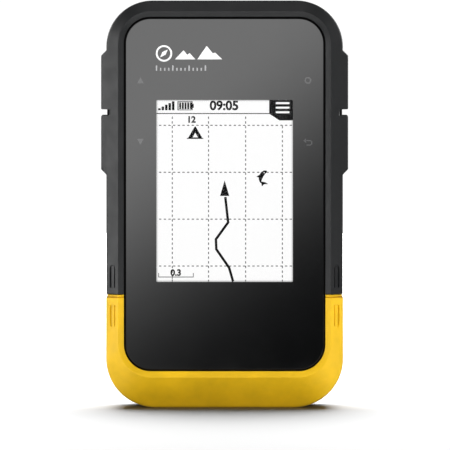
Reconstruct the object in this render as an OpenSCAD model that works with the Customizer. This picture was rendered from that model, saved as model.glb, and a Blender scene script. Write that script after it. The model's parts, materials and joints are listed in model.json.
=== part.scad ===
// Handheld satellite navigator: a rugged two-shell housing with a flush front lens, side keys,
// a coloured lower bumper, and a battery door that a folding D-ring latch holds shut.
// Frame: +X to the user's right, +Y from the lens to the battery door, +Z up, in millimetres.
// The origin is the middle of the base. Depths called "deep" run back from the bezel's ridge.

/* [Body] */
// Width across the side walls
body_w = 58.2; // [58:0.1:58.6]
// Width across the crowns of the side keys
keys_w = 61; // [60.9:0.1:61.2]
// Overall height
body_h = 100.4; // [100.4:0.1:101]
// Overall depth, bezel ridge to mounting spine
body_d = 33; // [32.8:0.1:34]
// Depth of the seam between front and rear housings
seam = 15; // [15:0.1:15.4]
// Thickness of the moulded walls
wall = 2; // [1.9:0.1:2.1]

/* [Bezel and lens] */
// Width of the bezel's raised ridge
ridge_w = 52.3; // [52:0.1:52.6]
// Height at which the ridge runs across the chin
ridge_low = 7.8; // [7.6:0.1:8]
// Width of the lens opening at the foot of the inner bevel
opening_w = 49.6; // [49.4:0.1:49.8]
// Gap all round the lens
lens_gap = 0.36; // [0.3:0.02:0.4]
// Thickness of the lens
lens_t = 1.6; // [1.4:0.1:1.7]
// Height of the joint between front housing and bumper
bumper_top = 27.4; // [27:0.1:28]

/* [Display] */
// Active width of the display
screen_w = 33.6; // [33:0.1:34]
// Active height of the display
screen_h = 44.7; // [44:0.1:45]
// Height of the middle of the display
screen_z = 53.6; // [53:0.1:54]

/* [Keys] */
// Length of each raised key block
block_l = 13.2; // [13.1:0.1:13.4]
// Height of the middle of the notch between the key blocks
notch_z = 72.9; // [72.6:0.1:73.4]
// Length of each side key
key_l = 11.6; // [11.2:0.1:11.8]
// Width of each side key
key_w = 7.8; // [7.4:0.1:8]
// Gap round each key
key_gap = 0.15; // [0.12:0.01:0.2]
// Travel of each key
key_travel = 0.5; // [0.3:0.05:0.5]

/* [Batteries and door] */
// Diameter of one AA cell
cell_d = 14.2; // [13.8:0.1:14.4]
// Length of one AA cell, terminal included
cell_l = 50.5; // [49.5:0.1:50.5]
// Width of the battery door
door_w = 37.8; // [37.4:0.1:38]
// Lower edge of the battery door
door_low = 5.2; // [5:0.1:5.4]
// Upper edge of the battery door
door_high = 83; // [82.6:0.1:83.2]
// Height of the latch's axis
latch_z = 15.4; // [15.2:0.1:15.6]
// Outer radius of the D-ring
ring_r = 9.4; // [9:0.1:9.4]

/* [Hidden] */
$fn = 48;

dark_grey = [0.20, 0.205, 0.21];
black_plastic = [0.09, 0.09, 0.095];
rubber_grey = [0.16, 0.165, 0.17];
signal_yellow = [0.93, 0.70, 0.12];
steel = [0.72, 0.72, 0.74];

skin = 0.01;                     // thickness of the slabs that a hull joins
past = 1;                        // how far a cutter runs past the face it cuts
fit = 0.05;                      // gap between fixed pieces that meet
half_w = body_w / 2;
block_half = keys_w / 2 - 0.1;   // the key crowns stand this much proud of their blocks

// Bezel
ridge_half = ridge_w / 2;
ridge_high = body_h - 2.6;
ridge_r = 8.1;
slope_deep = 6;                  // the outer slope ends this far back
slope_out = 1.14;                // how far the slope runs outwards for each unit of depth
top_r = 11.3;
chin_r = 12.3;
open_half = opening_w / 2;
open_low = 9.25;
open_high = body_h - 3.95;
open_r = 6.6;
bevel_deep = 0.9;
seat_deep = 3;                   // face of the ledge that carries the lens
plate_deep = 4.5;                // rear face of the front plate
ledge_in = 1.9;                  // width of the ledge
lens_deep = seat_deep - 0.3 - lens_t;
frame_half = 27;                 // dark inner frame that the bumper wraps, in two steps of depth
frame_low = 5.4;
frame_lower = 3.4;
frame_step = 5.5;
frame_wall = 1.4;
joint_step = 0.35;               // the tongue at the top of the bumper lies this much lower
joint_top = bumper_top + 0.75;
notch_h = 1.5;
notch_half = 28.3;
ramp = 1.4;
pill = [1.35, 5.7];              // shallow grip recess in the outer slope
pill_deep = 0.45;
pill_gap = 1.65;                 // from the joint to the nearer end of each recess
slope_angle = atan(1 / slope_out);

// Rear shell: every edge curls inwards along a quarter ellipse
back = 28.3;
rear_steps = [seam, 17, 19, 21, 23, 24.6, 25.9, 26.9, 27.6, 28.1, back];
side_curl = [17, 9];             // depth where the curl starts, and how far it goes in
base_curl = [21, 6];
top_curl = [16, 14];
back_plate = 23.6;
ledge = 25.3;                    // seat of the door

// Keys
key_deep = 9.7;                  // depth of the key's axis
key_r = 2.2;
key_z = [notch_z + notch_h / 2 + block_l / 2, notch_z - notch_h / 2 - block_l / 2];
flange_in = 26.15;
nub_r = 1.2;
nub_tip = 25.6;
power_x = -13;
power_size = [9, 3.8];

// Boards
pcb_deep = 7;
pcb_t = 1.2;
pcb_back = pcb_deep + pcb_t;
pcb_posts = [[-12, 8.6], [12, 8.6], [-9, 95.4], [13, 95.4]];
boss_r = 3;
screw_spots = [[22.9, 11.1], [23.4, 52], [21.6, 92.6]];
screw_seat = 22;
lanyard_spot = [24.9, 25];       // a point on the slot's middle line: across and deep
lanyard_z = 17;
lanyard_size = [2, 5.2];
usb_z = 89.4;
usb_posts = [[-6.2, 92], [6.2, 92]];

// Battery bay
bay_half = 15.4;
bay_low = 22.4;
bay_high = 77.9;
bay_floor = 10.8;
bay_wall = 1.2;
cell_r = cell_d / 2;
cell_x = 7.6;
cell_deep = bay_floor + 0.2 + cell_r;
spring_gap = 3.9;                // length of a compressed battery spring
contact_t = 0.5;

// Door and latch
door_half = door_w / 2;
door_r = 5;
door_gap = 0.2;
door_in = 25.6;
dish_r = ring_r + 0.4;
dish_floor = 26.6;
ring_t = 1.5;
ring_axis = 27.45;
hub_r = 4.2;
shaft_r = 2.2;
foot = [9.6, 4.2];
foot_deep = [22.2, 23.8];
catch_deep = [24, 24.6];
catch_size = [18, 12.4];
catch_screw_x = 7.2;
spine_z = [34, 73];

// USB cap
cap_half = 7.4;
cap_low = 85.4;
cap_high = 95.4;
cap_floor = 23.5;
cap_axis = [25.35, cap_high + 0.12];   // depth and height of the bead that the cap turns on
bead_r = 0.3;
plug = [4.6, 2.1];               // half width and half height of the plug

// Extrudes a front-view outline between two depths behind the ridge
module deep(from, to) {
    translate([0, to - body_d / 2, 0]) rotate([90, 0, 0]) linear_extrude(to - from) children();
}

// One thin layer of a hull
module slab(at) {
    deep(at, at + skin) children();
}

// Extrudes a (depth, z) outline across the width, between two x values
module across(from, to) {
    translate([from, -body_d / 2, 0]) rotate([90, 0, 90]) linear_extrude(to - from) children();
}

// Rounded outline centred on x, with one radius for the lower corners and one for the upper
module outline(half, low, high, r_low, r_high) {
    translate([-half, low + r_low]) square([2 * half, high - low - r_low - r_high]);
    translate([r_low - half, low]) square([2 * (half - r_low), r_low + past]);
    translate([r_high - half, high - r_high - past]) square([2 * (half - r_high), r_high + past]);
    for (side = [-1, 1]) {
        translate([side * (half - r_low), low + r_low]) circle(r_low);
        translate([side * (half - r_high), high - r_high]) circle(r_high);
    }
}

// Rounded rectangle given by its half sizes, centred on a point
module rounded(at, half_size, r) {
    translate([at[0], at[1]]) outline(half_size[0], -half_size[1], half_size[1], r, r);
}

module mirrored() {
    children();
    mirror([1, 0, 0]) children();
}

// A slab-shaped space between two heights, as wide and deep as the whole body
module band(low, high) {
    translate([-body_w, -body_d, low]) cube([2 * body_w, 2 * body_d, high - low]);
}

// ---- Front half ----

// The blocks that carry the side keys, seen from the front, with the notch between them
module key_blocks() {
    low = key_z[1] - block_l / 2;
    high = key_z[0] + block_l / 2;
    difference() {
        polygon([
            [half_w - 3, low - ramp], [half_w, low - ramp], [block_half, low],
            [block_half, high], [half_w, high + ramp], [half_w - 3, high + ramp]
        ]);
        translate([notch_half, notch_z - notch_h / 2]) square([past * 5, notch_h]);
    }
}

// Everything in front of the seam as one solid: ridge, outer slope and side walls
module front_outer(half, with_blocks) {
    intersection() {
        hull() {
            slab(0) outline(ridge_half, ridge_low, ridge_high, ridge_r, ridge_r, $fn = 64);
            for (at = [slope_deep, seam]) {
                slab(at) outline(
                    ridge_half + slope_deep * slope_out, 0, ridge_high + slope_deep,
                    chin_r, ridge_r + slope_deep * slope_out, $fn = 64
                );
            }
        }
        deep(-past, seam) difference() {
            union() {
                outline(half, 0, body_h, chin_r, top_r);
                if (with_blocks) {
                    mirrored() key_blocks();
                }
            }
            if (with_blocks) {
                mirrored() translate([notch_half, notch_z - notch_h / 2]) square([past * 5, notch_h]);
            }
        }
    }
}

// The lens opening, with its inner bevel
module lens_opening() {
    deep(-past, seat_deep) outline(open_half, open_low, open_high, open_r, open_r);
    hull() {
        slab(-skin) outline(
            ridge_half, ridge_low, ridge_high, ridge_r, ridge_r, $fn = 64
        );
        slab(bevel_deep) outline(open_half, open_low, open_high, open_r, open_r, $fn = 64);
    }
}

// Shallow grip recess cut square to the outer slope, full round at its far end
module grip_recess(low, round_up) {
    middle = (ridge_half + half_w) / 2 + 0.1;
    flip = round_up ? 1 : -1;
    mirrored()
        translate([middle, (middle - ridge_half) / slope_out - body_d / 2, low + pill[1] / 2])
            rotate([0, 0, slope_angle])
                translate([0, pill_deep, 0]) rotate([90, 0, 0]) linear_extrude(pill_deep + past)
                    scale([1, flip]) outline(
                        pill[0] / 2 + 0.15, -pill[1] / 2, pill[1] / 2, 0.3, pill[0] / 2 + 0.1
                    );
}

// The dark inner frame below the joint, made larger or smaller all round
module lower_frame(grow, to) {
    deep(seat_deep - grow, to) outline(
        frame_half + grow, frame_low - grow, body_h / 2, chin_r - 3.8 + grow, past
    );
    deep(frame_step - grow, to) outline(
        frame_half + grow, frame_lower - grow, body_h / 2, chin_r - 2.8 + grow, past
    );
}

// Opening in the left or right wall for one side key
module side_pocket(z, size_gap) {
    translate([flange_in, key_deep - body_d / 2, z]) rotate([90, 0, 90])
        linear_extrude(10) rounded([0, 0], [key_w / 2 + size_gap, key_l / 2 + size_gap], key_r);
}

module front_housing() {
    color(dark_grey) {
        difference() {
            union() {
                intersection() {
                    front_outer(half_w, true);
                    band(joint_top + fit, body_h + past);
                }
                intersection() {
                    lower_frame(0, seam);
                    band(0, joint_top + past);
                }
            }
            lens_opening();
            deep(seat_deep - past, plate_deep + past) outline(
                open_half - ledge_in, open_low + ledge_in, open_high - ledge_in, 5, 5
            );
            intersection() {
                deep(plate_deep, seam + past) outline(
                    half_w - wall, frame_low + frame_wall, body_h - wall, 8, top_r - wall
                );
                band(joint_top + 1.5, body_h);
            }
            deep(plate_deep, seam + past) outline(
                frame_half - frame_wall, frame_low + frame_wall, body_h / 2, 8, past
            );
            deep(frame_step + frame_wall, seam + past) outline(
                frame_half - frame_wall, frame_lower + frame_wall, body_h / 2, 8, past
            );
            for (z = key_z) {
                mirrored() side_pocket(z, key_gap);
            }
            translate([power_x, key_deep - body_d / 2, body_h - wall - past])
                linear_extrude(wall + 2 * past)
                    rounded([0, 0], power_size / 2 + [key_gap, key_gap], 1.5);
            grip_recess(joint_top + pill_gap, true);
        }
        for (spot = screw_spots) {
            mirrored() deep(plate_deep - fit, seam) translate(spot) difference() {
                circle(boss_r);
                circle(1.03);
            }
        }
        deep(plate_deep - fit, pcb_deep) for (spot = pcb_posts) {
            translate(spot) difference() {
                circle(1.5);
                circle(0.83);
            }
        }
    }
}

module lower_bumper() {
    color(signal_yellow) difference() {
        union() {
            intersection() {
                front_outer(half_w + 0.1, false);
                band(-past, bumper_top);
            }
            intersection() {
                translate([0, joint_step, 0]) front_outer(half_w - joint_step, false);
                band(bumper_top - past, joint_top);
                deep(0, seam) square([2 * body_w, 2 * body_h], center = true);
            }
        }
        lower_frame(fit, seam + past);
        lens_opening();
        grip_recess(bumper_top - pill_gap - pill[1], false);
    }
}

module cover_lens() {
    color([0.06, 0.065, 0.07]) deep(lens_deep, lens_deep + lens_t) outline(
        open_half - lens_gap, open_low + lens_gap, open_high - lens_gap,
        open_r - lens_gap, open_r - lens_gap
    );
}

module lens_adhesive() {
    color("black") deep(lens_deep + lens_t, seat_deep) difference() {
        outline(open_half - 0.5, open_low + 0.5, open_high - 0.5, open_r - 0.5, open_r - 0.5);
        outline(open_half - ledge_in, open_low + ledge_in, open_high - ledge_in, 5, 5);
    }
}

// ---- Display and boards ----

module lcd_panel() {
    color([0.82, 0.84, 0.83]) deep(lens_deep + lens_t + fit, plate_deep + 0.1)
        rounded([0, screen_z], [screen_w / 2 + 1.8, screen_h / 2 + 3.4], 0.6);
}

module backlight() {
    color("white") deep(plate_deep + 0.15, 5.6)
        rounded([0, screen_z], [screen_w / 2 + 1.5, screen_h / 2 + 3], 0.6);
}

module display_bracket() {
    color(black_plastic) difference() {
        deep(plate_deep + 0.2, pcb_deep)
            rounded([0, screen_z], [screen_w / 2 + 3, screen_h / 2 + 4.6], 1.5);
        deep(plate_deep, 5.7)
            rounded([0, screen_z], [screen_w / 2 + 1.6, screen_h / 2 + 3.2], 0.6);
        deep(5, pcb_deep + past)
            rounded([0, screen_z], [screen_w / 2 - 2, screen_h / 2 - 1], 1.5);
        translate([-9, -body_d / 2, screen_z - screen_h / 2 - 8]) cube([18, 10, 6]);
    }
}

// Flat ribbon that folds from the foot of the panel round to the board
module display_flex() {
    low = screen_z - screen_h / 2 - 3.2;
    thin = 0.15;
    color([0.85, 0.5, 0.15]) across(-7, 7) difference() {
        union() {
            translate([plate_deep + 0.15, low - 2]) square([pcb_deep - plate_deep - 0.2, 2.1]);
            translate([5.72, low - 2]) square([thin, 2.6]);
        }
        translate([plate_deep + 0.15 + thin, low - 2 + thin])
            square([pcb_deep - plate_deep - 0.2 - 2 * thin, 3]);
    }
}

module main_pcb() {
    color([0.05, 0.32, 0.16]) deep(pcb_deep, pcb_back) difference() {
        outline(23.2, 6.2, body_h - 3.6, 6, 6);
        for (spot = screw_spots) {
            mirrored() translate(spot) circle(boss_r + 0.3);
        }
        for (spot = pcb_posts) {
            translate(spot) circle(0.95);
        }
    }
}

// Each row is one package: x, z, width, height, thickness
module pcb_chips() {
    packages = [
        [-8, 40, 10, 10, 0.9], [7, 42, 8, 8, 0.8], [-7, 60, 6, 9, 0.8], [8, 62, 5, 5, 0.7],
        [-14, 28, 3, 4, 1], [13, 28, 4, 3, 1], [0, 14, 7, 5, 1.6], [-17, 14, 4, 4, 1.2],
        [17, 15, 3, 6, 1.4], [0, 70, 4, 3, 0.6], [14, 74, 3, 3, 0.6], [-14, 74, 3, 3, 0.6]
    ];
    color([0.12, 0.12, 0.13]) for (part = packages) {
        deep(pcb_back, pcb_back + part[4])
            translate([part[0], part[1]]) square([part[2], part[3]], center = true);
    }
}

module rf_shield() {
    color(steel) difference() {
        deep(pcb_back, pcb_back + 2.4) rounded([14.4, 86.6], [4.6, 4.4], 0.5);
        deep(pcb_back - past, pcb_back + 2.2) rounded([14.4, 86.6], [4.4, 4.2], 0.3);
    }
}

module patch_antenna() {
    color([0.78, 0.72, 0.6]) deep(pcb_back, pcb_back + 4) rounded([1, 88.6], [7, 7], 0.4);
    color(steel) deep(pcb_back + 4, pcb_back + 4.1) rounded([1, 88.6], [5.4, 5.4], 0.4);
    color(steel) deep(pcb_back + 4.1, pcb_back + 4.4) translate([2, 88.6]) circle(0.7);
}

// One side-push switch at the origin, pressed along +X
module tact_switch() {
    translate([-3.8, 0, -2.25]) cube([3.8, 3, 4.5]);
    translate([-past, 1, -1]) cube([past + 0.65, 1, 2]);
}

module side_switches() {
    color([0.75, 0.75, 0.72]) for (z = key_z) {
        mirrored() translate([24.4, pcb_back - body_d / 2, z]) tact_switch();
    }
}

module power_switch() {
    color([0.75, 0.75, 0.72])
        translate([power_x, pcb_back - body_d / 2, body_h - 4.7]) rotate([0, -90, 0]) tact_switch();
}

// ---- Keys ----

// Raised symbol on a side key: 0 points up, 1 points down, 2 is a round dot, 3 a bent arrow
module key_symbol(kind) {
    if (kind == 0) {
        polygon([[-1.5, -1.1], [1.5, -1.1], [0, 1.5]]);
    }
    if (kind == 1) {
        polygon([[-1.5, 1.1], [1.5, 1.1], [0, -1.5]]);
    }
    if (kind == 2) {
        difference() {
            circle(1.5);
            circle(0.8);
        }
    }
    if (kind == 3) {
        polygon([
            [-1.7, 0], [-0.2, 1.4], [-0.2, 0.45], [1.5, 0.45],
            [1.5, -0.45], [-0.2, -0.45], [-0.2, -1.4]
        ]);
    }
}

// One side key on the +X wall
module side_key(z, kind) {
    crown_r = 30;
    color(rubber_grey) translate([0, key_deep - body_d / 2, z]) {
        difference() {
            intersection() {
                translate([flange_in, 0, 0]) rotate([90, 0, 90])
                    linear_extrude(10) rounded([0, 0], [key_w / 2, key_l / 2], key_r - key_gap);
                translate([keys_w / 2 - crown_r, 0, -key_l]) cylinder(r = crown_r, h = 2 * key_l);
            }
            translate([keys_w / 2 - 0.25, 0, 0]) rotate([90, 0, 90])
                linear_extrude(past) key_symbol(kind);
        }
        translate([flange_in, 0, 0]) rotate([90, 0, 90])
            linear_extrude(0.8) rounded([0, 0], [key_w / 2 + 1, key_l / 2 + 0.8], key_r);
        translate([nub_tip, 0, 0]) rotate([0, 90, 0]) cylinder(r = nub_r, h = flange_in - nub_tip + 0.4);
    }
}

module up_key() {
    mirror([1, 0, 0]) side_key(key_z[0], 0);
}

module down_key() {
    mirror([1, 0, 0]) side_key(key_z[1], 1);
}

module ok_key() {
    side_key(key_z[0], 2);
}

module back_key() {
    side_key(key_z[1], 3);
}

module power_key() {
    flange_low = body_h - 3;
    color(rubber_grey) translate([power_x, key_deep - body_d / 2, 0]) {
        translate([0, 0, flange_low])
            linear_extrude(body_h - 0.05 - flange_low) rounded([0, 0], power_size / 2, 1.5 - key_gap);
        translate([0, 0, flange_low]) linear_extrude(0.8) rounded([0, 0], power_size / 2 + [0.9, 0.9], 1.8);
        translate([0, 0, flange_low - 0.5]) cylinder(r = nub_r, h = 1);
    }
}

// ---- Rear half ----

function curl_in(at, curl) =
    let (t = max(0, (at - curl[0]) / (back - curl[0]))) curl[1] * (1 - sqrt(max(0, 1 - t * t)));

// Outline of the rear shell at one depth, made smaller by an inset
module rear_outline(at, inset) {
    side = curl_in(at, side_curl);
    outline(
        half_w - side - inset, curl_in(at, base_curl) + inset, body_h - curl_in(at, top_curl) - inset,
        chin_r - side / 4 - inset, top_r - side / 4 - inset, $fn = 56
    );
}

module rear_outer() {
    hull() {
        for (at = rear_steps) {
            slab(at == back ? at - skin : at) rear_outline(at, 0);
        }
    }
}

// Hollow of the rear shell, up to the back plate
module rear_hollow() {
    hull() {
        for (at = [seam - past, 18, 20, 22, back_plate - skin]) {
            slab(at) rear_outline(at, wall);
        }
    }
}

module bay_block() {
    translate([-bay_half - bay_wall, bay_low - bay_wall])
        square([2 * (bay_half + bay_wall), bay_high - bay_low + 2 * bay_wall]);
}

// Slanting slot through the lower right corner, for a lanyard's loop
module lanyard_slot() {
    translate([lanyard_spot[0], lanyard_spot[1] - body_d / 2, 0]) rotate([0, 0, 45])
        translate([0, 15, 0]) rotate([90, 0, 0]) linear_extrude(30)
            rounded([0, lanyard_z], lanyard_size / 2, 0.95);
}

module rear_housing() {
    color(black_plastic) difference() {
        union() {
            rear_outer();
            deep(bay_floor - bay_wall, seam + past) bay_block();
        }
        difference() {
            rear_hollow();
            deep(0, back) bay_block();
            for (spot = screw_spots) {
                mirrored() deep(0, back) translate(spot) circle(boss_r);
            }
            deep(20.4, back) translate([-10.5, 7]) square([21, bay_low - 7]);
            deep(20.6, back) rounded([0, usb_z], [8.4, 5], 1);
            deep(18.1, back) for (spot = usb_posts) {
                translate(spot) circle(1.5);
            }
            deep(seam + 1.5, back) translate([18.5, 5]) square([12, lanyard_z - 0.5]);
        }
        difference() {
            deep(bay_floor, back + past)
                translate([-bay_half, bay_low]) square([2 * bay_half, bay_high - bay_low]);
            deep(bay_floor, bay_floor + 3) translate([-0.3, bay_low]) square([0.6, bay_high - bay_low]);
        }
        for (side = [-1, 1], z = [bay_low + 0.5, bay_high - 0.5]) {
            deep(bay_floor - bay_wall - past, bay_floor + past)
                translate([side * cell_x, z]) square([3.4, 1], center = true);
        }
        deep(ledge, back + past) outline(
            door_half + door_gap, door_low - door_gap, door_high + door_gap,
            door_r + door_gap, door_r + door_gap
        );
        deep(catch_deep[0], back) rounded([0, latch_z], catch_size / 2 + [0.1, 0.1], 2);
        deep(21.8, back) translate([0, latch_z]) circle(5.4);
        deep(22.2, back) for (side = [-1, 1]) {
            translate([side * catch_screw_x, latch_z]) circle(0.63);
        }
        deep(cap_floor, back + past) outline(cap_half + 0.2, cap_low - 0.35, cap_high + 2.2, 2, 1);
        deep(seam, back) rounded([0, usb_z - 0.2], [plug[0] + 0.2, plug[1] + 0.45], 1);
        deep(18.1 - past, 21.5) for (spot = usb_posts) {
            translate(spot) circle(0.63);
        }
        for (spot = screw_spots) {
            mirrored() {
                deep(seam - past, back) translate(spot) circle(1.2);
                deep(screw_seat, back + past) translate(spot) circle(2.2);
            }
        }
        deep(seam - past, seam + 0.6) seal_ring(0);
        lanyard_slot();
    }
}

// Ring of the housing seal, seen from the front
module seal_ring(trim) {
    difference() {
        outline(half_w - 0.6 - trim, 0.6 + trim, body_h - 0.6 - trim, chin_r - 0.6, top_r - 0.6);
        outline(half_w - 1.5 + trim, 1.5 - trim, body_h - 1.5 + trim, chin_r - 1.5, top_r - 1.5);
    }
}

module housing_seal() {
    color([0.3, 0.3, 0.31]) deep(seam + 0.02, seam + 0.58) seal_ring(fit);
}

// Pan-head screw along +Y with its head at the back: head radius, head height, shank radius
module screw(at, head_deep, head_r, head_h, shank_r, shank_l) {
    deep(head_deep, head_deep + head_h) translate(at) difference() {
        circle(head_r);
        if (head_r > 1.5) {
            circle(0.75, $fn = 6);
        }
    }
    deep(head_deep - shank_l, head_deep + 0.2) translate(at) circle(shank_r);
}

module housing_screws() {
    color(steel) for (spot = screw_spots) {
        mirrored() screw(spot, screw_seat, 1.95, 1.5, 1, 13.5);
    }
}

module pcb_screws() {
    color(steel) for (spot = pcb_posts) {
        screw(spot, pcb_back, 1.4, 0.8, 0.8, 3);
    }
}

// ---- Batteries ----

// One cell standing on its negative end at the origin
module cell(nub_up) {
    body_l = cell_l - 1;
    low = nub_up ? 0 : 1;
    color([0.25, 0.55, 0.35]) translate([0, 0, low]) cylinder(r = cell_r, h = body_l);
    color(steel) translate([0, 0, nub_up ? body_l - past : 0]) cylinder(r = 2.7, h = 1 + past);
}

module battery_left() {
    translate([-cell_x, cell_deep - body_d / 2, bay_low + spring_gap + 0.1]) cell(true);
}

module battery_right() {
    translate([cell_x, cell_deep - body_d / 2, bay_high - spring_gap - 0.1 - cell_l]) cell(false);
}

// Points round the wire at each step of a conical coil that narrows as it rises
function coil_ring(step, steps, turns, wide, narrow, height, wire) =
    let (
        share = step / steps, angle = 360 * turns * share,
        r = wide + (narrow - wide) * share, z = wire + (height - 2 * wire) * share
    ) [
        for (k = [0:7]) let (a = 45 * k)
            [(r + wire * cos(a)) * cos(angle), (r + wire * cos(a)) * sin(angle), z + wire * sin(a)]
    ];

module coil(turns, wide, narrow, height, wire) {
    steps = 56;
    rings = [for (i = [0:steps]) each coil_ring(i, steps, turns, wide, narrow, height, wire)];
    walls = [
        for (i = [0:steps - 1], k = [0:7]) let (m = (k + 1) % 8)
            each [[8 * i + k, 8 * i + 8 + m, 8 * i + 8 + k], [8 * i + k, 8 * i + m, 8 * i + 8 + m]]
    ];
    ends = [
        for (k = [1:6]) each [[0, k + 1, k], [8 * steps, 8 * steps + k, 8 * steps + k + 1]]
    ];
    polyhedron(points = rings, faces = concat(walls, ends));
}

// A conical spring and its base plate, against the lower end of the bay
module battery_spring() {
    translate([-cell_x, cell_deep - body_d / 2, bay_low + 0.1]) {
        translate([-4.5, -5, 0]) cube([9, 10, 0.4]);
        translate([-1.5, pcb_back - cell_deep, 0]) cube([3, cell_deep - pcb_back, 0.4]);
        translate([0, 0, 0.4]) coil(3.25, 4.2, 2.4, spring_gap - 0.5, 0.35);
    }
}

module battery_springs() {
    middle = bay_low + bay_high;
    color(steel) {
        battery_spring();
        translate([0, 0, middle]) mirror([0, 0, 1]) mirror([1, 0, 0]) battery_spring();
    }
}

module battery_contact() {
    translate([-cell_x, cell_deep - body_d / 2, bay_high - 0.1 - contact_t]) {
        translate([-4.5, -5, 0]) cube([9, 10, contact_t]);
        translate([-1.5, pcb_back - cell_deep, 0]) cube([3, cell_deep - pcb_back, contact_t]);
    }
}

module battery_contacts() {
    middle = bay_low + bay_high;
    color([0.8, 0.7, 0.4]) {
        battery_contact();
        translate([0, 0, middle]) mirror([0, 0, 1]) mirror([1, 0, 0]) battery_contact();
    }
}

// ---- Battery door and latch ----

// Rail that a belt clip or bike mount slides onto from below
module spine() {
    stem = 4.6;
    head = 7;
    neck = back + 2.6;
    deep(back - past, neck) outline(stem, spine_z[0] + 1.5, spine_z[1] - 1.5, 1, 1);
    difference() {
        deep(neck, body_d) outline(head, spine_z[0], spine_z[1], 2, 3);
        deep(body_d - 0.8, body_d + past) rounded([0, spine_z[1] - 7], [3, 1.2], 1.1);
    }
    deep(back - past, neck) outline(head, spine_z[1] - 3, spine_z[1], 0.5, 2.9);
}

module battery_door() {
    color(black_plastic) difference() {
        union() {
            intersection() {
                rear_outer();
                deep(door_in, back + past) outline(door_half, door_low, door_high, door_r, door_r);
            }
            deep(25.2, door_in + past) translate([0, latch_z]) circle(3.6);
            spine();
        }
        deep(dish_floor, body_d) translate([0, latch_z]) circle(dish_r);
        deep(seam, back) translate([0, latch_z]) circle(shaft_r + 0.05);
        deep(door_in - past, door_in + 0.4) gasket_ring(0.05);
    }
}

// Ring of the door gasket, seen from the front
module gasket_ring(grow) {
    inset = 1.2;
    difference() {
        outline(
            door_half - inset + grow, door_low + inset - grow, door_high - inset + grow,
            door_r - 1, door_r - 1
        );
        outline(
            door_half - inset - 1.3 - grow, door_low + inset + 1.3 + grow,
            door_high - inset - 1.3 - grow, door_r - 2.3, door_r - 2.3
        );
    }
}

module door_gasket() {
    color([0.28, 0.28, 0.3]) deep(ledge + 0.02, door_in + 0.38) gasket_ring(0);
}

module battery_pads() {
    color([0.2, 0.2, 0.2]) for (side = [-1, 1]) {
        deep(cell_deep + cell_r + 0.05, door_in) rounded([side * cell_x, 50], [2.5, 9], 0.5);
    }
}

module latch_rotor() {
    color([0.13, 0.13, 0.14]) difference() {
        union() {
            deep(dish_floor + 0.15, back) translate([0, latch_z]) circle(hub_r);
            deep(foot_deep[0], back - past) translate([0, latch_z]) circle(shaft_r);
            deep(foot_deep[0], foot_deep[1])
                rounded([0, latch_z], [foot[1] / 2, foot[0] / 2], 1);
        }
        translate([-2 * hub_r, ring_axis - body_d / 2, latch_z]) rotate([0, 90, 0])
            cylinder(r = 0.62, h = 4 * hub_r);
        deep(24.7, 25.18) translate([0, latch_z]) difference() {
            circle(shaft_r + past);
            circle(1.7);
        }
    }
}

module latch_clip() {
    color(steel) deep(24.74, 25.14) translate([0, latch_z]) difference() {
        circle(3.3);
        circle(1.75);
        translate([-1.5, -4]) square([3, 4]);
    }
}

module d_ring() {
    inner = ring_r - 2.3;
    color(steel) translate([0, ring_axis - body_d / 2, latch_z]) {
        rotate([90, 0, 0]) translate([0, 0, -ring_t / 2]) linear_extrude(ring_t) difference() {
            circle(ring_r);
            circle(inner);
            translate([-2 * ring_r, 0]) square([4 * ring_r, 2 * ring_r]);
        }
        translate([-(ring_r + inner) / 2, 0, 0]) rotate([0, 90, 0])
            cylinder(r = 0.57, h = ring_r + inner);
        for (side = [-1, 1]) {
            translate([side * (ring_r + inner) / 2 - 1.05, 0, 0]) rotate([0, 90, 0])
                cylinder(r = ring_t / 2, h = 2.1);
        }
    }
}

// Spring-steel catch that the foot of the latch turns under
module latch_catch() {
    color(steel) deep(catch_deep[0], catch_deep[1]) difference() {
        rounded([0, latch_z], catch_size / 2, 1.9);
        rounded([0, latch_z], [foot[0] / 2 + 0.3, foot[1] / 2 + 0.3], 1.2);
        for (side = [-1, 1]) {
            translate([side * catch_screw_x, latch_z]) circle(0.9);
        }
    }
}

module catch_screws() {
    color(steel) for (side = [-1, 1]) {
        screw([side * catch_screw_x, latch_z], catch_deep[1], 1.3, 0.5, 0.6, 2.2);
    }
}

// ---- USB port ----

module usb_port() {
    color(steel) difference() {
        deep(18.1, 22.1) rounded([0, usb_z], [3.8, 1.4], 0.5);
        deep(18.6, 22.1 + past) rounded([0, usb_z], [3.5, 1.1], 0.3);
    }
    color("black") deep(18.2, 21.6) rounded([0, usb_z + 0.3], [2.6, 0.3], 0.2);
}

module usb_board() {
    color([0.05, 0.32, 0.16]) deep(17.1, 18.05) difference() {
        translate([-17, 84.6]) square([25, 9.4]);
        for (spot = usb_posts) {
            translate(spot) circle(0.8);
        }
    }
}

module board_connector() {
    color([0.85, 0.83, 0.76]) deep(pcb_back, 17.1) translate([-16.5, 85]) square([3.5, 6]);
}

module usb_screws() {
    color(steel) for (spot = usb_posts) {
        deep(16.3, 17.1) translate(spot) circle(1.3);
        deep(17, 20.6) translate(spot) circle(0.6);
    }
}

// Round bead across the top of the cap, given its radius and half its length
module cap_bead(r, half) {
    translate([-half, cap_axis[0] - body_d / 2, cap_axis[1]])
        rotate([0, 90, 0])
        cylinder(r = r, h = 2 * half);
}

module usb_cap() {
    color(rubber_grey) {
        difference() {
            intersection() {
                rear_outer();
                deep(cap_floor + 0.15, back + past) outline(cap_half, cap_low, cap_high, 1.8, 0.5);
            }
            deep(back - 0.6, back + past) rounded([0, cap_low], [3.5, 1.1], 1);
            cap_bead(bead_r + 0.05, cap_half + past);
        }
        deep(cap_floor - 1.2, cap_floor + 0.4) rounded([0, usb_z], plug, 0.9);
    }
}

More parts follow.
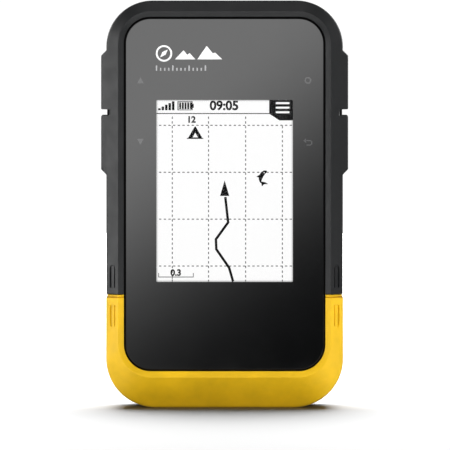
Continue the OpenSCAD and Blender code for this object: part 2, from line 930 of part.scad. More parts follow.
module usb_cap_anchor() {
    color(rubber_grey) {
        intersection() {
            rear_outer();
            deep(cap_floor + fit, back) outline(cap_half, cap_high + 0.25, cap_high + 2.1, 0.4, 0.9);
        }
        cap_bead(bead_r, cap_half - 0.2);
    }
}

front_housing();
lower_bumper();
rear_housing();
cover_lens();
lens_adhesive();
lcd_panel();
backlight();
display_bracket();
display_flex();
main_pcb();
pcb_chips();
rf_shield();
patch_antenna();
side_switches();
power_switch();
up_key();
down_key();
ok_key();
back_key();
power_key();
housing_seal();
housing_screws();
pcb_screws();
battery_left();
battery_right();
battery_springs();
battery_contacts();
battery_door();
door_gasket();
battery_pads();
latch_rotor();
latch_clip();
d_ring();
latch_catch();
catch_screws();
usb_port();
usb_board();
board_connector();
usb_screws();
usb_cap();
usb_cap_anchor();
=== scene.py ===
"""Looks for the handheld navigator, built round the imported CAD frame.

Shapes are given in millimetres: x to the right, "deep" back from the bezel's ridge, z up.
"""

import json
from math import copysign, cos, exp, pi, radians, sin, sqrt, tau

import bmesh
import bpy
import numpy as np
from mathutils import Matrix, Vector

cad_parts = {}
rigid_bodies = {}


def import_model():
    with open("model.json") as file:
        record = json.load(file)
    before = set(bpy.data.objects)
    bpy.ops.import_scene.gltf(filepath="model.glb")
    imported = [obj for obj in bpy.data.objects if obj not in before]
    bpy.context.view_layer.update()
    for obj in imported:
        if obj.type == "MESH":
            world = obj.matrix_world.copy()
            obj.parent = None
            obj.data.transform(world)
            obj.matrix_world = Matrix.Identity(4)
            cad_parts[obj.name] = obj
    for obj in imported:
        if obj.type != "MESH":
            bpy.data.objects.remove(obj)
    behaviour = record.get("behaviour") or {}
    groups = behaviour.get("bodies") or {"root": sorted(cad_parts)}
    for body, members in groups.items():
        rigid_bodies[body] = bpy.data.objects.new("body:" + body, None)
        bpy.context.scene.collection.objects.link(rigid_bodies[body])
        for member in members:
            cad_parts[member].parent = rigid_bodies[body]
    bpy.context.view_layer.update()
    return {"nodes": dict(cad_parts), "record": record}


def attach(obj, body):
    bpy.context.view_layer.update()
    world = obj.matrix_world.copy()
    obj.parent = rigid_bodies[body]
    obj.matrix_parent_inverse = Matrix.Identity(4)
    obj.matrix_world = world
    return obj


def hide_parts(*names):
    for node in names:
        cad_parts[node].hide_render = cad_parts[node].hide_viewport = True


for old in list(bpy.data.objects):
    bpy.data.objects.remove(old)
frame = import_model()
MM = 0.001
HALF_DEPTH = 16.5

# ---------------------------------------------------------------- mesh helpers

TO_SPACE = {
    "deep": lambda a, b, h: (a, h - HALF_DEPTH, b),
    "across": lambda a, b, h: (h, a - HALF_DEPTH, b),
    "up": lambda a, b, h: (a, b - HALF_DEPTH, h),
}


def add_object(name, data):
    obj = bpy.data.objects.new(name, data)
    bpy.context.scene.collection.objects.link(obj)
    return obj


def discard(obj):
    mesh = obj.data
    bpy.data.objects.remove(obj)
    bpy.data.meshes.remove(mesh)


def shade(obj, angle=32):
    obj.data.shade_smooth()
    obj.data.set_sharp_from_angle(angle=radians(angle))


def new_object(name, verts, faces, angle=32):
    """A closed mesh from points in millimetres, smooth below the given edge angle."""
    mesh = bpy.data.meshes.new(name)
    mesh.from_pydata([tuple(float(c) * MM for c in v) for v in verts], [], faces)
    bm = bmesh.new()
    bm.from_mesh(mesh)
    bmesh.ops.recalc_face_normals(bm, faces=bm.faces)
    bm.to_mesh(mesh)
    bm.free()
    obj = add_object(name, mesh)
    shade(obj, angle)
    return obj


def grid_faces(nu, nv, closed_u):
    """Quads over nu rings of nv points; each ring is closed."""
    faces = []
    for i in range(nu if closed_u else nu - 1):
        k = (i + 1) % nu
        for j in range(nv):
            m = (j + 1) % nv
            faces.append((i * nv + j, i * nv + m, k * nv + m, k * nv + j))
    return faces


def capped_faces(nu, nv):
    """The same for an open run of rings, with both ends closed."""
    return grid_faces(nu, nv, False) + [tuple(range(nv)), tuple(range((nu - 1) * nv, nu * nv))]


CORNERS = ((1, 1), (-1, 1), (-1, -1), (1, -1))


def corner_points(spots, n):
    """Points round four corners, anticlockwise from the upper right one, from their (a, b, radius)."""
    points = []
    for i, (a, b, r) in enumerate(spots):
        for j in range(n + 1):
            t = radians(90 * i + 90 * j / n)
            points.append((a + r * cos(t), b + r * sin(t)))
    return points


def rounded(ha, hb, r, ca=0.0, cb=0.0, n=8):
    """Outline of a rounded rectangle from its half sizes, as a function of an inset."""

    def outline(inset=0.0):
        a, b = ha - inset, hb - inset
        rr = min(max(r - inset, 0.02), a - 0.001, b - 0.001)
        return corner_points([(ca + sa * (a - rr), cb + sb * (b - rr), rr) for sa, sb in CORNERS], n)

    return outline


def tall(half, low, high, r_low, r_high, n=14):
    """Outline centred on x with its own radius for lower and upper corners, for an inset."""

    def outline(inset=0.0):
        spots = []
        for sa, sb in CORNERS:
            r = max((r_high if sb > 0 else r_low) - inset, 0.02)
            spots.append((sa * (half - inset - r), high - inset - r if sb > 0 else low + inset + r, r))
        return corner_points(spots, n)

    return outline


def soft_edges(h0, h1, r0, r1, n=4):
    """(height, inset) levels of a plate whose two edges are rounded."""
    turns = [pi / 2 * i / n for i in range(n + 1)]
    first = [(h0 + r0 * (1 - cos(t)), r0 * (1 - sin(t))) for t in turns] if r0 else [(h0, 0)]
    last = [(h1 - r1 * (1 - cos(t)), r1 * (1 - sin(t))) for t in turns[::-1]] if r1 else [(h1, 0)]
    return first + last


def stack(name, rings, way="deep"):
    """A closed solid from (height, outline points) rings."""
    verts = [TO_SPACE[way](a, b, h) for h, points in rings for a, b in points]
    return new_object(name, verts, capped_faces(len(rings), len(rings[0][1])))


def plate(name, outline, h0, h1, r0=0.0, r1=0.0):
    return stack(name, [(h, outline(inset)) for h, inset in soft_edges(h0, h1, r0, r1)])


def lathe(name, profile, ca, cb, way="deep", n=40):
    """A turned solid from (height, radius) points."""
    circle = [(cos(tau * i / n), sin(tau * i / n)) for i in range(n)]
    rings = [(h, [(ca + r * x, cb + r * y) for x, y in circle]) for h, r in profile]
    return stack(name, rings, way)


def bore(h0, h1, r, ca, cb, way="deep", n=40):
    """A straight round cutter or pin."""
    return lathe("bore", [(h0, r), (h1, r)], ca, cb, way, n)


def prisms(name, shapes, h0, h1, way="deep"):
    """One mesh of straight-sided solids, one for each 2-D shape (a list of points)."""
    verts, faces = [], []
    for points in shapes:
        n, start = len(points), len(verts)
        verts += [TO_SPACE[way](a, b, h) for h in (h0, h1) for a, b in points]
        faces += [tuple(start + i for i in face) for face in capped_faces(2, n)]
    return new_object(name, verts, faces, 20)


def bake(obj):
    """Applies an object's modifiers to its mesh."""
    graph = bpy.context.evaluated_depsgraph_get()
    mesh = bpy.data.meshes.new_from_object(obj.evaluated_get(graph))
    old = obj.data
    obj.modifiers.clear()
    obj.data = mesh
    bpy.data.meshes.remove(old)


def combine(obj, others, how="DIFFERENCE"):
    """Cuts others from obj, or joins them to it, and removes them."""
    for other in others:
        mod = obj.modifiers.new("combine", "BOOLEAN")
        mod.operation = how
        mod.solver = "EXACT"
        mod.object = other
        bake(obj)
        discard(other)
    assert len(obj.data.polygons) > 5, obj.name
    bm = bmesh.new()
    bm.from_mesh(obj.data)
    bmesh.ops.remove_doubles(bm, verts=bm.verts, dist=0.000002)
    bmesh.ops.dissolve_degenerate(bm, edges=bm.edges, dist=0.000002)
    bm.to_mesh(obj.data)
    bm.free()
    shade(obj)
    return obj


def unite(obj, *others):
    return combine(obj, others, "UNION")


def join(name, objects):
    """Merges separate closed solids into one object."""
    bm = bmesh.new()
    for o in objects:
        bm.from_mesh(o.data)
        discard(o)
    mesh = bpy.data.meshes.new(name)
    bm.to_mesh(mesh)
    bm.free()
    obj = add_object(name, mesh)
    shade(obj)
    return obj


def finish_piece(obj, body, material, replaced=()):
    """Gives flat faces true normals, then hands the piece to its body with its material."""
    mod = obj.modifiers.new("normals", "WEIGHTED_NORMAL")
    mod.keep_sharp = True
    mod.weight = 90
    bake(obj)
    obj.data.materials.clear()
    obj.data.materials.append(material)
    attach(obj, body)
    if replaced:
        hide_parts(*replaced)
    return obj


# ---------------------------------------------------------------- materials


class Nodes:
    """A principled material and short ways to wire its nodes. Lengths are in millimetres."""

    def __init__(self, name, color, rough, metal=0.0, **sockets):
        self.material = bpy.data.materials.new(name)
        self.material.use_nodes = True
        self.tree = self.material.node_tree
        self.shader = self.tree.nodes["Principled BSDF"]
        self.shader.inputs["Base Color"].default_value = (*color, 1)
        self.shader.inputs["Roughness"].default_value = rough
        self.shader.inputs["Metallic"].default_value = metal
        for key, value in sockets.items():
            self.shader.inputs[key.replace("_", " ")].default_value = value
        self.place = self.tree.nodes.new("ShaderNodeTexCoord").outputs["Object"]

    def node(self, kind, links=(), **settings):
        made = self.tree.nodes.new(kind)
        for key, value in settings.items():
            setattr(made, key, value)
        for socket, source in links:
            if isinstance(source, (int, float, tuple)):
                made.inputs[socket].default_value = source
            else:
                self.tree.links.new(source, made.inputs[socket])
        return made

    def times(self, a, b):
        return self.node("ShaderNodeMath", [(0, a), (1, b)], operation="MULTIPLY").outputs[0]

    def wire(self, source, socket):
        self.tree.links.new(source, self.shader.inputs[socket])

    def bricks(self, scale, mortar, brick, gap):
        """A brick pattern that lies in the front plane."""
        turned = self.node("ShaderNodeMapping", [("Vector", self.place), ("Rotation", (pi / 2, 0, 0))])
        made = self.node("ShaderNodeTexBrick", [
            ("Vector", turned.outputs[0]), ("Scale", scale), ("Mortar Size", mortar),
            ("Color1", (*brick, 1.0)), ("Color2", (*brick, 1.0)), ("Mortar", (*gap, 1.0))])
        return made.outputs["Color"]

    def noise(self, size, detail=2.0, rough=0.5, stretch=None):
        place = self.place
        if stretch:
            place = self.node("ShaderNodeMapping", [("Vector", place), ("Scale", stretch)]).outputs[0]
        made = self.node("ShaderNodeTexNoise", [
            ("Vector", place), ("Scale", 1 / (size * MM)), ("Detail", detail), ("Roughness", rough)])
        return made.outputs["Fac"]

    def cells(self, size):
        made = self.node("ShaderNodeTexVoronoi", [("Vector", self.place), ("Scale", 1 / (size * MM))])
        return made.outputs["Distance"]

    def ramp(self, value, low, high, out_low, out_high):
        made = self.node("ShaderNodeMapRange", [
            ("Value", value), ("From Min", low), ("From Max", high),
            ("To Min", out_low), ("To Max", out_high)])
        return made.outputs["Result"]

    def blend(self, amount, a, b):
        made = self.node("ShaderNodeMix", data_type="RGBA")
        for socket, source in ((0, amount), (6, a), (7, b)):
            if isinstance(source, tuple):
                made.inputs[socket].default_value = (*source, 1)
            elif isinstance(source, float):
                made.inputs[socket].default_value = source
            else:
                self.tree.links.new(source, made.inputs[socket])
        return made.outputs[2]

    def color(self, source):
        self.wire(source, "Base Color")

    def roughness(self, source):
        self.wire(source, "Roughness")

    def bump(self, heights, strength=0.5):
        """heights is a list of (source, millimetres)."""
        normal = None
        for source, depth in heights:
            made = self.node("ShaderNodeBump", [
                ("Height", source), ("Strength", strength), ("Distance", depth * MM)])
            if normal:
                self.tree.links.new(normal, made.inputs["Normal"])
            normal = made.outputs["Normal"]
        self.wire(normal, "Normal")


def tint(color, factor, lift=0.0):
    return tuple(min(1, c * factor + lift) for c in color)


def moulded(name, color, rough, grain=0.22, relief=0.012, worn=None, **sockets):
    """Spark-textured moulding: fine grain, faint flow marks and a few rubbed spots."""
    m = Nodes(name, color, rough, **sockets)
    tone = m.noise(9, 3, 0.6)
    base = m.blend(m.ramp(tone, 0.3, 0.7, 0, 1), tint(color, 0.9), tint(color, 1.13))
    if worn:
        rub = m.times(m.ramp(m.noise(17, 2), 0.5, 0.7, 0, 0.3), m.ramp(m.noise(1.3, 5, 0.65), 0.5, 0.7, 0, 1))
        base = m.blend(rub, base, worn)
    m.color(base)
    fine = m.noise(grain, 2, 0.55)
    pits = m.cells(grain * 1.7)
    m.roughness(m.ramp(m.noise(3, 4, 0.6), 0.3, 0.7, rough - 0.05, rough + 0.07))
    m.bump([(fine, relief), (pits, relief * 0.7)], 0.4)
    return m.material


def rubber(name, color, rough=0.62):
    m = Nodes(name, color, rough, Sheen_Weight=0.08, Sheen_Roughness=0.5)
    dust = m.ramp(m.noise(1.2, 5, 0.65), 0.5, 0.75, 0, 1)
    m.color(m.blend(dust, color, tint(color, 1.6, 0.01)))
    m.roughness(m.ramp(m.noise(0.8, 3), 0.3, 0.7, rough - 0.08, rough + 0.1))
    m.bump([(m.noise(0.12, 2), 0.008), (m.noise(2.2, 2), 0.03)], 0.35)
    return m.material


def metal(name, color, rough, stretch=(1, 1, 14)):
    """Brushed metal: fine scratches along one axis, and a faint change of tone."""
    m = Nodes(name, color, rough, metal=1.0, Anisotropic=0.3)
    lines = m.noise(0.9, 5, 0.7, stretch=stretch)
    m.color(m.blend(m.ramp(lines, 0.3, 0.7, 0, 1), tint(color, 0.82), tint(color, 1.12)))
    m.roughness(m.ramp(m.noise(2.5, 4), 0.3, 0.7, rough - 0.08, rough + 0.12))
    m.bump([(lines, 0.004)], 0.3)
    return m.material


def board():
    """Solder mask with copper tracks showing through and bare pads."""
    m = Nodes("board", (0.012, 0.13, 0.05), 0.32, Coat_Weight=0.4)
    tracks = m.bricks(420.0, 0.05, (0.0, 0.0, 0.0), (1.0, 1.0, 1.0))
    green = m.blend(tracks, (0.01, 0.11, 0.045), (0.02, 0.19, 0.07))
    pads = m.ramp(m.cells(2.1), 0.16, 0.2, 1, 0)
    m.color(m.blend(pads, green, (0.7, 0.5, 0.2)))
    m.bump([(tracks, 0.02), (pads, 0.015), (m.noise(0.4, 3), 0.005)], 0.4)
    return m.material


def cell_wrap(axis_low, axis_high):
    """Printed cell sleeve with a contrasting band at one end and bare steel at the terminals."""
    m = Nodes("cell_wrap", (0.02, 0.12, 0.1), 0.28, Coat_Weight=0.6)
    z = m.node("ShaderNodeSeparateXYZ", [("Vector", m.place)]).outputs["Z"]
    band = m.ramp(z, axis_high * MM, (axis_high + 0.2) * MM, 0, 1)
    ring = m.times(m.ramp(z, axis_low * MM, (axis_low + 0.2) * MM, 0, 1),
                   m.ramp(z, (axis_low + 1) * MM, (axis_low + 1.2) * MM, 1, 0))
    tone = m.blend(m.ramp(m.noise(14, 3), 0.3, 0.7, 0, 1), (0.012, 0.09, 0.075), (0.03, 0.15, 0.12))
    m.color(m.blend(ring, m.blend(band, tone, (0.62, 0.36, 0.12)), (0.75, 0.75, 0.74)))
    m.roughness(m.ramp(m.noise(1.1, 3), 0.3, 0.7, 0.22, 0.36))
    m.bump([(m.noise(0.7, 2, stretch=(1, 1, 0.1)), 0.01)], 0.3)
    return m.material


def lit(name, color, strength, soft=None):
    """A lit layer of the display. soft dims its glow towards the window's edges: painted shade for the shadow
    that the lens's ink mask casts on the display.
    """
    m = Nodes(name, color, 0.6, Emission_Color=(*color, 1), Emission_Strength=strength,
              Specular_IOR_Level=0.0)
    m.color(m.bricks(7000.0, 0.02, [c * 0.02 for c in color], [c * 0.015 for c in color]))
    if soft:
        x0, x1, z0, z1, fade, dim = soft
        split = m.node("ShaderNodeSeparateXYZ", [("Vector", m.place)]).outputs
        level = None
        # painted shade: the glow drops to dim within fade of each window edge
        for axis, edge, sign in (("X", x0, 1), ("X", x1, -1), ("Z", z0, 1), ("Z", z1, -1)):
            mask_edge_shade = m.node("ShaderNodeMapRange", [
                ("Value", split[axis]), ("From Min", edge * MM), ("From Max", (edge + sign * fade) * MM),
                ("To Min", dim), ("To Max", 1.0)], interpolation_type="SMOOTHSTEP").outputs["Result"]
            level = m.times(level, mask_edge_shade) if level else mask_edge_shade
        m.wire(m.blend(level, (0.0, 0.0, 0.0), color), "Emission Color")
    return m.material


DARK = (0.0135, 0.0142, 0.0150)
dark_shell = moulded("dark_shell", DARK, 0.42, worn=(0.022, 0.023, 0.024))
yellow_shell = moulded("yellow_shell", (0.785, 0.474, 0.009), 0.45, worn=(0.9, 0.56, 0.03),
                       Specular_IOR_Level=0.35)
black_shell = moulded("black_shell", (0.016, 0.0165, 0.018), 0.5, grain=0.3, relief=0.02,
                      worn=(0.027, 0.0275, 0.029))
key_rubber = rubber("key_rubber", (0.03, 0.031, 0.034), 0.55)
seal_rubber = rubber("seal_rubber", (0.045, 0.046, 0.05))
inner_black = moulded("inner_black", (0.02, 0.02, 0.022), 0.45, grain=0.35)
screw_steel = metal("screw_steel", (0.42, 0.42, 0.44), 0.33, stretch=(1, 1, 1))
spring_steel = metal("spring_steel", (0.56, 0.56, 0.58), 0.28)
ring_steel = metal("ring_steel", (0.5, 0.51, 0.53), 0.3, stretch=(10, 1, 1))
tin = metal("tin", (0.66, 0.66, 0.67), 0.38)
brass = metal("brass", (0.78, 0.58, 0.24), 0.3)
white_print = moulded("white_print", (0.5, 0.51, 0.52), 0.5, grain=0.3)
# near-black used only for the ring in the lens gap: painted shade for the gap's depth
gap_black = moulded("gap_black", (0.002, 0.002, 0.002), 0.8, Specular_IOR_Level=0.1)


def lens_finish(name, color):
    """Hard-coated acrylic over black ink: glossy, with a trace of smear."""
    m = Nodes(name, color, 0.07, Specular_IOR_Level=0.62)
    m.roughness(m.ramp(m.noise(7, 4, 0.6), 0.35, 0.7, 0.05, 0.11))
    m.color(m.blend(m.ramp(m.noise(0.5, 2), 0.3, 0.7, 0, 1), color, tint(color, 1.15)))
    m.bump([(m.noise(16, 2), 0.01)], 0.05)
    return m.material


lens_black = lens_finish("lens_black", (0.0022, 0.0024, 0.0026))
print_white = lens_finish("print_white", (0.8, 0.8, 0.8))
print_grey = lens_finish("print_grey", (0.05, 0.05, 0.052))

window = Nodes("lens_window", (1, 1, 1), 0.02, Transmission_Weight=1.0, IOR=1.12)
window.roughness(window.ramp(window.noise(9, 3), 0.3, 0.7, 0.0, 0.03))
window.bump([(window.noise(18, 2), 0.004)], 0.03)

# ---------------------------------------------------------------- housing lofts

SLOPE = 1.14
RIDGE = (26.15, 7.8, 97.8, 8.1, 8.1)
OPENING = (24.8, 9.25, 96.45, 6.6, 6.6)
LEDGE = (22.9, 11.15, 94.55, 5.0, 5.0)
DARK_BODY = (29.1, 0.0, 100.4, 12.3, 11.3)
YELLOW_BODY = (29.2, 0.0, 100.4, 12.3, 11.3)
BLOCK_HALF = 30.42
NOTCH = (72.9, 0.75, 28.3)
BLOCKS = (58.95, 86.85)
RAMP = 1.4
SEAM = 15.0
CHIN_DEEP = 6.0
WALL = 2.0


def bend(r, angle):
    """How far a fillet of radius r has left its first face after some degrees."""
    return r * (1 - cos(radians(angle)))


def round_off(r, along):
    """How far a fillet of radius r drops at some distance from its start."""
    return r - sqrt(max(0.0, r * r - (r - min(along, r)) ** 2))


def smooth(t):
    t = min(max(t, 0.0), 1.0)
    return t * t * (3 - 2 * t)


def dark_half(z):
    """Half width of the dark body at a height: key blocks, ramps and the notch between them."""
    middle, half, floor = NOTCH
    off = abs(z - middle) - half
    t = min(max(min(z - BLOCKS[0] + RAMP, BLOCKS[1] + RAMP - z) / RAMP, 0.0), 1.0)
    rise = 0.75 * t + 0.25 * smooth(t)
    wide = DARK_BODY[0] + (BLOCK_HALF - DARK_BODY[0]) * rise
    if off <= 0:
        return floor + round_off(0.25, -off)
    return wide - round_off(0.32, off)


def at(shape, step, side_half=None):
    """The point of a rounded outline that a path step names."""
    half, low, high, r_low, r_high = shape
    kind, value = step
    if kind in "RL":
        wide = side_half(value) if side_half else half
        return (wide if kind == "R" else -wide, value)
    if kind == "T":
        return (value * (half - r_high), high)
    if kind == "B":
        return (value * (half - r_low), low)
    r, z = (r_high, high - r_high) if kind[0] == "t" else (r_low, low + r_low)
    x = half - r if kind[1] == "r" else r - half
    t = radians(value)
    return (x + r * cos(t), z + r * sin(t))


def ring(shape, depth, path, side_half=None):
    points = []
    for step in path:
        x, z = at(shape, step, side_half)
        points.append((x, depth(step) if callable(depth) else depth, z))
    return np.array(points)


def fillet(keys, radii, parts, n=4):
    """Cross-sections for every path step: corners rounded by radii, sides split into parts."""
    k = len(keys)
    corners = []
    for i in range(k):
        p, a, b, r = keys[i], keys[i - 1], keys[(i + 1) % k], radii[i]
        if not r:
            corners.append([p])
            continue
        ua = (a - p) / np.linalg.norm(a - p, axis=1, keepdims=True)
        ub = (b - p) / np.linalg.norm(b - p, axis=1, keepdims=True)
        start, end = p + ua * r, p + ub * r
        turns = np.linspace(0, 1, n + 1)
        corners.append([start * (1 - t) ** 2 + 2 * t * (1 - t) * p + end * t * t for t in turns])
    columns = []
    for i in range(k):
        columns += corners[i]
        a, b = corners[i][-1], corners[(i + 1) % k][0]
        columns += [a + (b - a) * j / parts[i] for j in range(1, parts[i])]
    return np.stack(columns, axis=1)


def tube(name, grid, closed=False):
    """A solid swept along a path: grid is (steps, section points, xyz), with end caps if open."""
    nu, nv, _ = grid.shape
    verts = [(x, d - HALF_DEPTH, z) for x, d, z in grid.reshape(-1, 3)]
    return new_object(name, verts, grid_faces(nu, nv, True) if closed else capped_faces(nu, nv))


def arc(kind, start, end, n=20):
    return [(kind, start + (end - start) * i / n) for i in range(n + 1)]


def flat(kind, start, end, n=8):
    return [(kind, start + (end - start) * i / n) for i in range(1, n)]


def chin_depth(half):
    """Depth of the crease between outer slope and wall: shallow at the sides, deep at the chin."""
    side = (half - RIDGE[0]) / SLOPE

    def depth(step):
        kind, value = step
        if kind == "B":
            return CHIN_DEEP
        if kind == "bl":
            return side + (CHIN_DEEP - side) * smooth((value - 180) / 90)
        if kind == "br":
            return side + (CHIN_DEEP - side) * smooth((360 - value) / 90)
        return side

    return depth


def moved(shape, inset):
    half, low, high, r_low, r_high = shape
    return (half - inset, low + inset, high - inset, r_low - inset, r_high - inset)


# Dark upper housing: up the right side, over the top and down the left
JOINT = 28.2
end_curve = [(JOINT + bend(0.2, a), bend(0.2, 90 - a)) for a in range(0, 91, 15)]
heights = [z for z, _ in end_curve] + list(np.linspace(32, 56.8, 8))
heights += list(np.linspace(BLOCKS[0] - RAMP, BLOCKS[0], 11)) + [60, 63, 66, 69, 71]
low_lip, high_lip = NOTCH[0] - NOTCH[1], NOTCH[0] + NOTCH[1]
curve = [bend(0.32, a) for a in range(0, 91, 15)]
floor_curve = [bend(0.25, a) for a in range(0, 91, 18)]
heights += [low_lip - c for c in reversed(curve)] + [low_lip + c + 0.002 for c in floor_curve]
heights += [high_lip - c - 0.002 for c in reversed(floor_curve)] + [high_lip + c for c in curve]
heights += [75, 78, 81, 84, 86] + list(np.linspace(BLOCKS[1], BLOCKS[1] + RAMP, 11))
inset_at = dict((round(z, 4), i) for z, i in end_curve)


def end_inset(step):
    return inset_at.get(round(step[1], 4), 0.0) if step[0] in "RL" else 0.0


up = [("R", z) for z in heights] + arc("tr", 0, 90) + flat("T", 1, -1) + arc("tl", 90, 180)
up += [("L", z) for z in reversed(heights)]


def crease(step):
    half = dark_half(step[1]) if step[0] in "RL" else DARK_BODY[0]
    return (half - RIDGE[0]) / SLOPE + end_inset(step)


def shrunk(shape, path, depth, side_half=None):
    """A ring whose side points also step inwards where the joint's edge is rounded."""
    points = ring(shape, depth, path, side_half)
    for i, step in enumerate(path):
        points[i, 0] -= copysign(end_inset(step), points[i, 0]) if step[0] in "RL" else 0.0
    return points


keys = [
    ring(OPENING, lambda s: 0.9 + end_inset(s), up),
    ring(RIDGE, end_inset, up),
    shrunk(DARK_BODY, up, crease, dark_half),
    shrunk(DARK_BODY, up, SEAM, dark_half),
    ring(moved(DARK_BODY, WALL), SEAM, up),
    ring(moved(DARK_BODY, WALL), 4.5, up),
    ring(LEDGE, 4.5, up),
    ring(LEDGE, 3.0, up),
    ring(OPENING, 3.0, up),
]
radii = [0.06, 0.12, 0.5, 0.15, 0, 0, 0, 0.1, 0]
dark = tube("front_housing_shell", fillet(keys, radii, [2, 6, 6, 1, 2, 2, 1, 1, 2]))

# Its inner frame, which runs on down inside the bumper
low_path = [("L", z) for z in (29.4, 24.0, 17.0)] + arc("bl", 180, 270) + flat("B", -1, 1)
low_path += arc("br", 270, 360)
low_path += [("R", z) for z in (17.0, 24.0, 29.4)]
FRAME_OUT = (26.97, 5.43, 100.4, 8.5, 11.3)
FRAME_IN = (25.6, 6.8, 100.4, 7.2, 9.9)
keys = [
    ring(FRAME_OUT, 3.0, low_path), ring(FRAME_OUT, SEAM, low_path), ring(FRAME_IN, SEAM, low_path),
    ring(FRAME_IN, 4.5, low_path), ring(LEDGE, 4.5, low_path), ring(LEDGE, 3.0, low_path),
]
unite(dark, tube("frame", fillet(keys, [0.2, 0.1, 0, 0, 0, 0.1], [1, 1, 1, 1, 1, 1])))


def flared(name, outline, h0, h1, lip, way="deep", past=1.2):
    """A cutter from h0 (deep end) to h1 (the surface), whose mouth is rounded outwards by lip."""
    sign = 1 if h1 > h0 else -1
    rings = [(h0, outline())]
    for i in range(5):
        t = pi / 2 * i / 4
        rings.append((h1 - sign * lip * (1 - sin(t)), outline(-lip * (1 - cos(t)))))
    rings.append((h1 + sign * past, outline(-lip - past * 0.2)))
    return stack(name, rings, way)


KEY_DEEP, KEY_HALF, KEY_R = 9.7, (3.9, 5.8), 2.2
KEY_Z = (80.25, 65.55)
POWER = (-13.0, 9.7, 4.5, 1.9)
cutters = []
for side in (1, -1):
    for z in KEY_Z:
        hole = rounded(KEY_HALF[0] + 0.15, KEY_HALF[1] + 0.15, KEY_R, KEY_DEEP, z)
        cutters.append(flared("cut", hole, side * 25.5, side * BLOCK_HALF, 0.22, "across"))
hole = rounded(POWER[2] + 0.15, POWER[3] + 0.15, 1.5, POWER[0], POWER[1])
cutters.append(flared("cut", hole, 97.5, DARK_BODY[2], 0.22, "up"))


PILL_HALF, PILL_LENGTH, PILL_CORNER, PILL_LIP = 0.88, 5.5, 0.28, 0.07
# depth and growth of each ring, from the recess's floor through the groove to past the surface
PILL_RINGS = [(0.14, -0.45), (0.18, -0.4), (0.86, -0.38), (0.9, -0.33), (0.9, -0.07), (0.86, -0.01),
              (PILL_LIP, 0.0), (PILL_LIP * 0.3, PILL_LIP * 0.3), (0.0, PILL_LIP), (-0.8, PILL_LIP + 0.3)]


def pill_cutter(side, low, round_up):
    """Grip mark square to the outer slope, nearly square at one end and round at the other: a shallow
    recess with a deeper groove round it."""
    end = 1 if round_up else -1
    top, foot = PILL_LENGTH / 2 - PILL_HALF, PILL_CORNER - PILL_LENGTH / 2
    shape = [(PILL_HALF, foot)]
    for t in (0.5, 1.0, 1.57):
        shape.append((PILL_HALF - PILL_CORNER * (1 - cos(t)), foot - PILL_CORNER * sin(t)))
    shape += [(-a, b) for a, b in reversed(shape)]
    turns = [pi * (1 - i / 10) for i in range(11)]
    shape += [(PILL_HALF * cos(t), top + PILL_HALF * sin(t)) for t in turns]
    middle = (RIDGE[0] + DARK_BODY[0]) / 2
    front = (middle - RIDGE[0]) / SLOPE
    normal = Vector((-1 / SLOPE, 1.0)).normalized()
    along = Vector((normal.y, -normal.x))
    verts = []
    for depth, grow in PILL_RINGS:
        for a, b in shape:
            a, b = a * (1 + grow / PILL_HALF), b * end + copysign(grow, b * end)
            # the groove is shallower on its inner side
            sunk = depth * (0.2 + 0.8 * min(1.0, 1.0 + a / PILL_HALF)) if depth > PILL_LIP else depth
            x = middle + along.x * a + normal.x * sunk
            d = front + along.y * a + normal.y * sunk
            verts.append((side * x, d - HALF_DEPTH, low + PILL_LENGTH / 2 + b))
    return new_object("cut", verts, capped_faces(len(PILL_RINGS), len(shape)))


cutters += [pill_cutter(side, 29.8, True) for side in (1, -1)]
combine(dark, cutters)
finish_piece(dark, "body", dark_shell, ["front_housing"])

# Yellow bumper: down the left side, round the chin and up the right
LIP_TOP, TOP = 28.1, 27.4
lip = [(LIP_TOP, 0.45), (LIP_TOP - 0.08, 0.36), (LIP_TOP - 0.16, 0.32), (TOP + 0.3, 0.32),
       (TOP + 0.26, 0.36), (TOP + 0.24, 0.8), (TOP + 0.04, 0.8), (TOP + 0.02, 0.4)]
lip += [(TOP - bend(0.22, a), bend(0.22, 90 - a)) for a in range(15, 91, 15)]
inset_at = dict((round(z, 4), i) for z, i in lip)
down = [z for z, _ in lip] + [25.0, 22.0, 19.0, 16.6]
around = [("L", z) for z in down] + arc("bl", 180, 270, 24) + flat("B", -1, 1, 10) + arc("br", 270, 360, 24)
around += [("R", z) for z in reversed(down)]
bottom = chin_depth(YELLOW_BODY[0])
FRAME_FIT = (27.03, 5.37, 100.4, 8.55, 11.3)
keys = [
    ring(OPENING, lambda s: 0.9 + end_inset(s), around),
    ring(RIDGE, end_inset, around),
    shrunk(YELLOW_BODY, around, lambda s: bottom(s) + end_inset(s)),
    shrunk(YELLOW_BODY, around, SEAM),
    ring(FRAME_FIT, SEAM, around),
    ring(FRAME_FIT, 2.95, around),
    ring(OPENING, 2.95, around),
]
yellow = tube("bumper_shell", fillet(keys, [0.06, 0.12, 0.7, 0.15, 0, 0.1, 0], [2, 8, 6, 1, 2, 1, 2]))
combine(yellow, [pill_cutter(side, 20.05, False) for side in (1, -1)])
finish_piece(yellow, "body", yellow_shell, ["lower_bumper"])

# ---------------------------------------------------------------- rear housing

BACK = 28.3
CURLS = {"side": (17.0, 9.0), "low": (21.0, 6.0), "high": (16.0, 14.0)}


def curl(depth, which):
    start, far = CURLS[which]
    t = min(max((depth - start) / (BACK - start), 0.0), 1.0)
    return far * (1 - sqrt(1 - t * t))


def rear_outline(depth, inset=0.0):
    half, low, high, r_low, r_high = DARK_BODY
    side = curl(depth, "side")
    smaller = side / 4 + inset
    return tall(half - side - inset, curl(depth, "low") + inset, high - curl(depth, "high") - inset,
                r_low - smaller, r_high - smaller, 16)()


def rear_solid(name, inset=0.0, start=SEAM, end=BACK):
    depths = [start + 0.001, start + 0.03, start + 0.08, start + 0.16] if not inset else [start]
    depths += [17 + (end - 17) * sin(radians(a)) for a in [*range(0, 85, 6), 86, 88, 90]]
    rings = []
    for d in depths:
        soft = 0.0 if inset else round_off(0.15, d - start)
        rings.append((d, rear_outline(d, inset + soft)))
    return stack(name, rings)


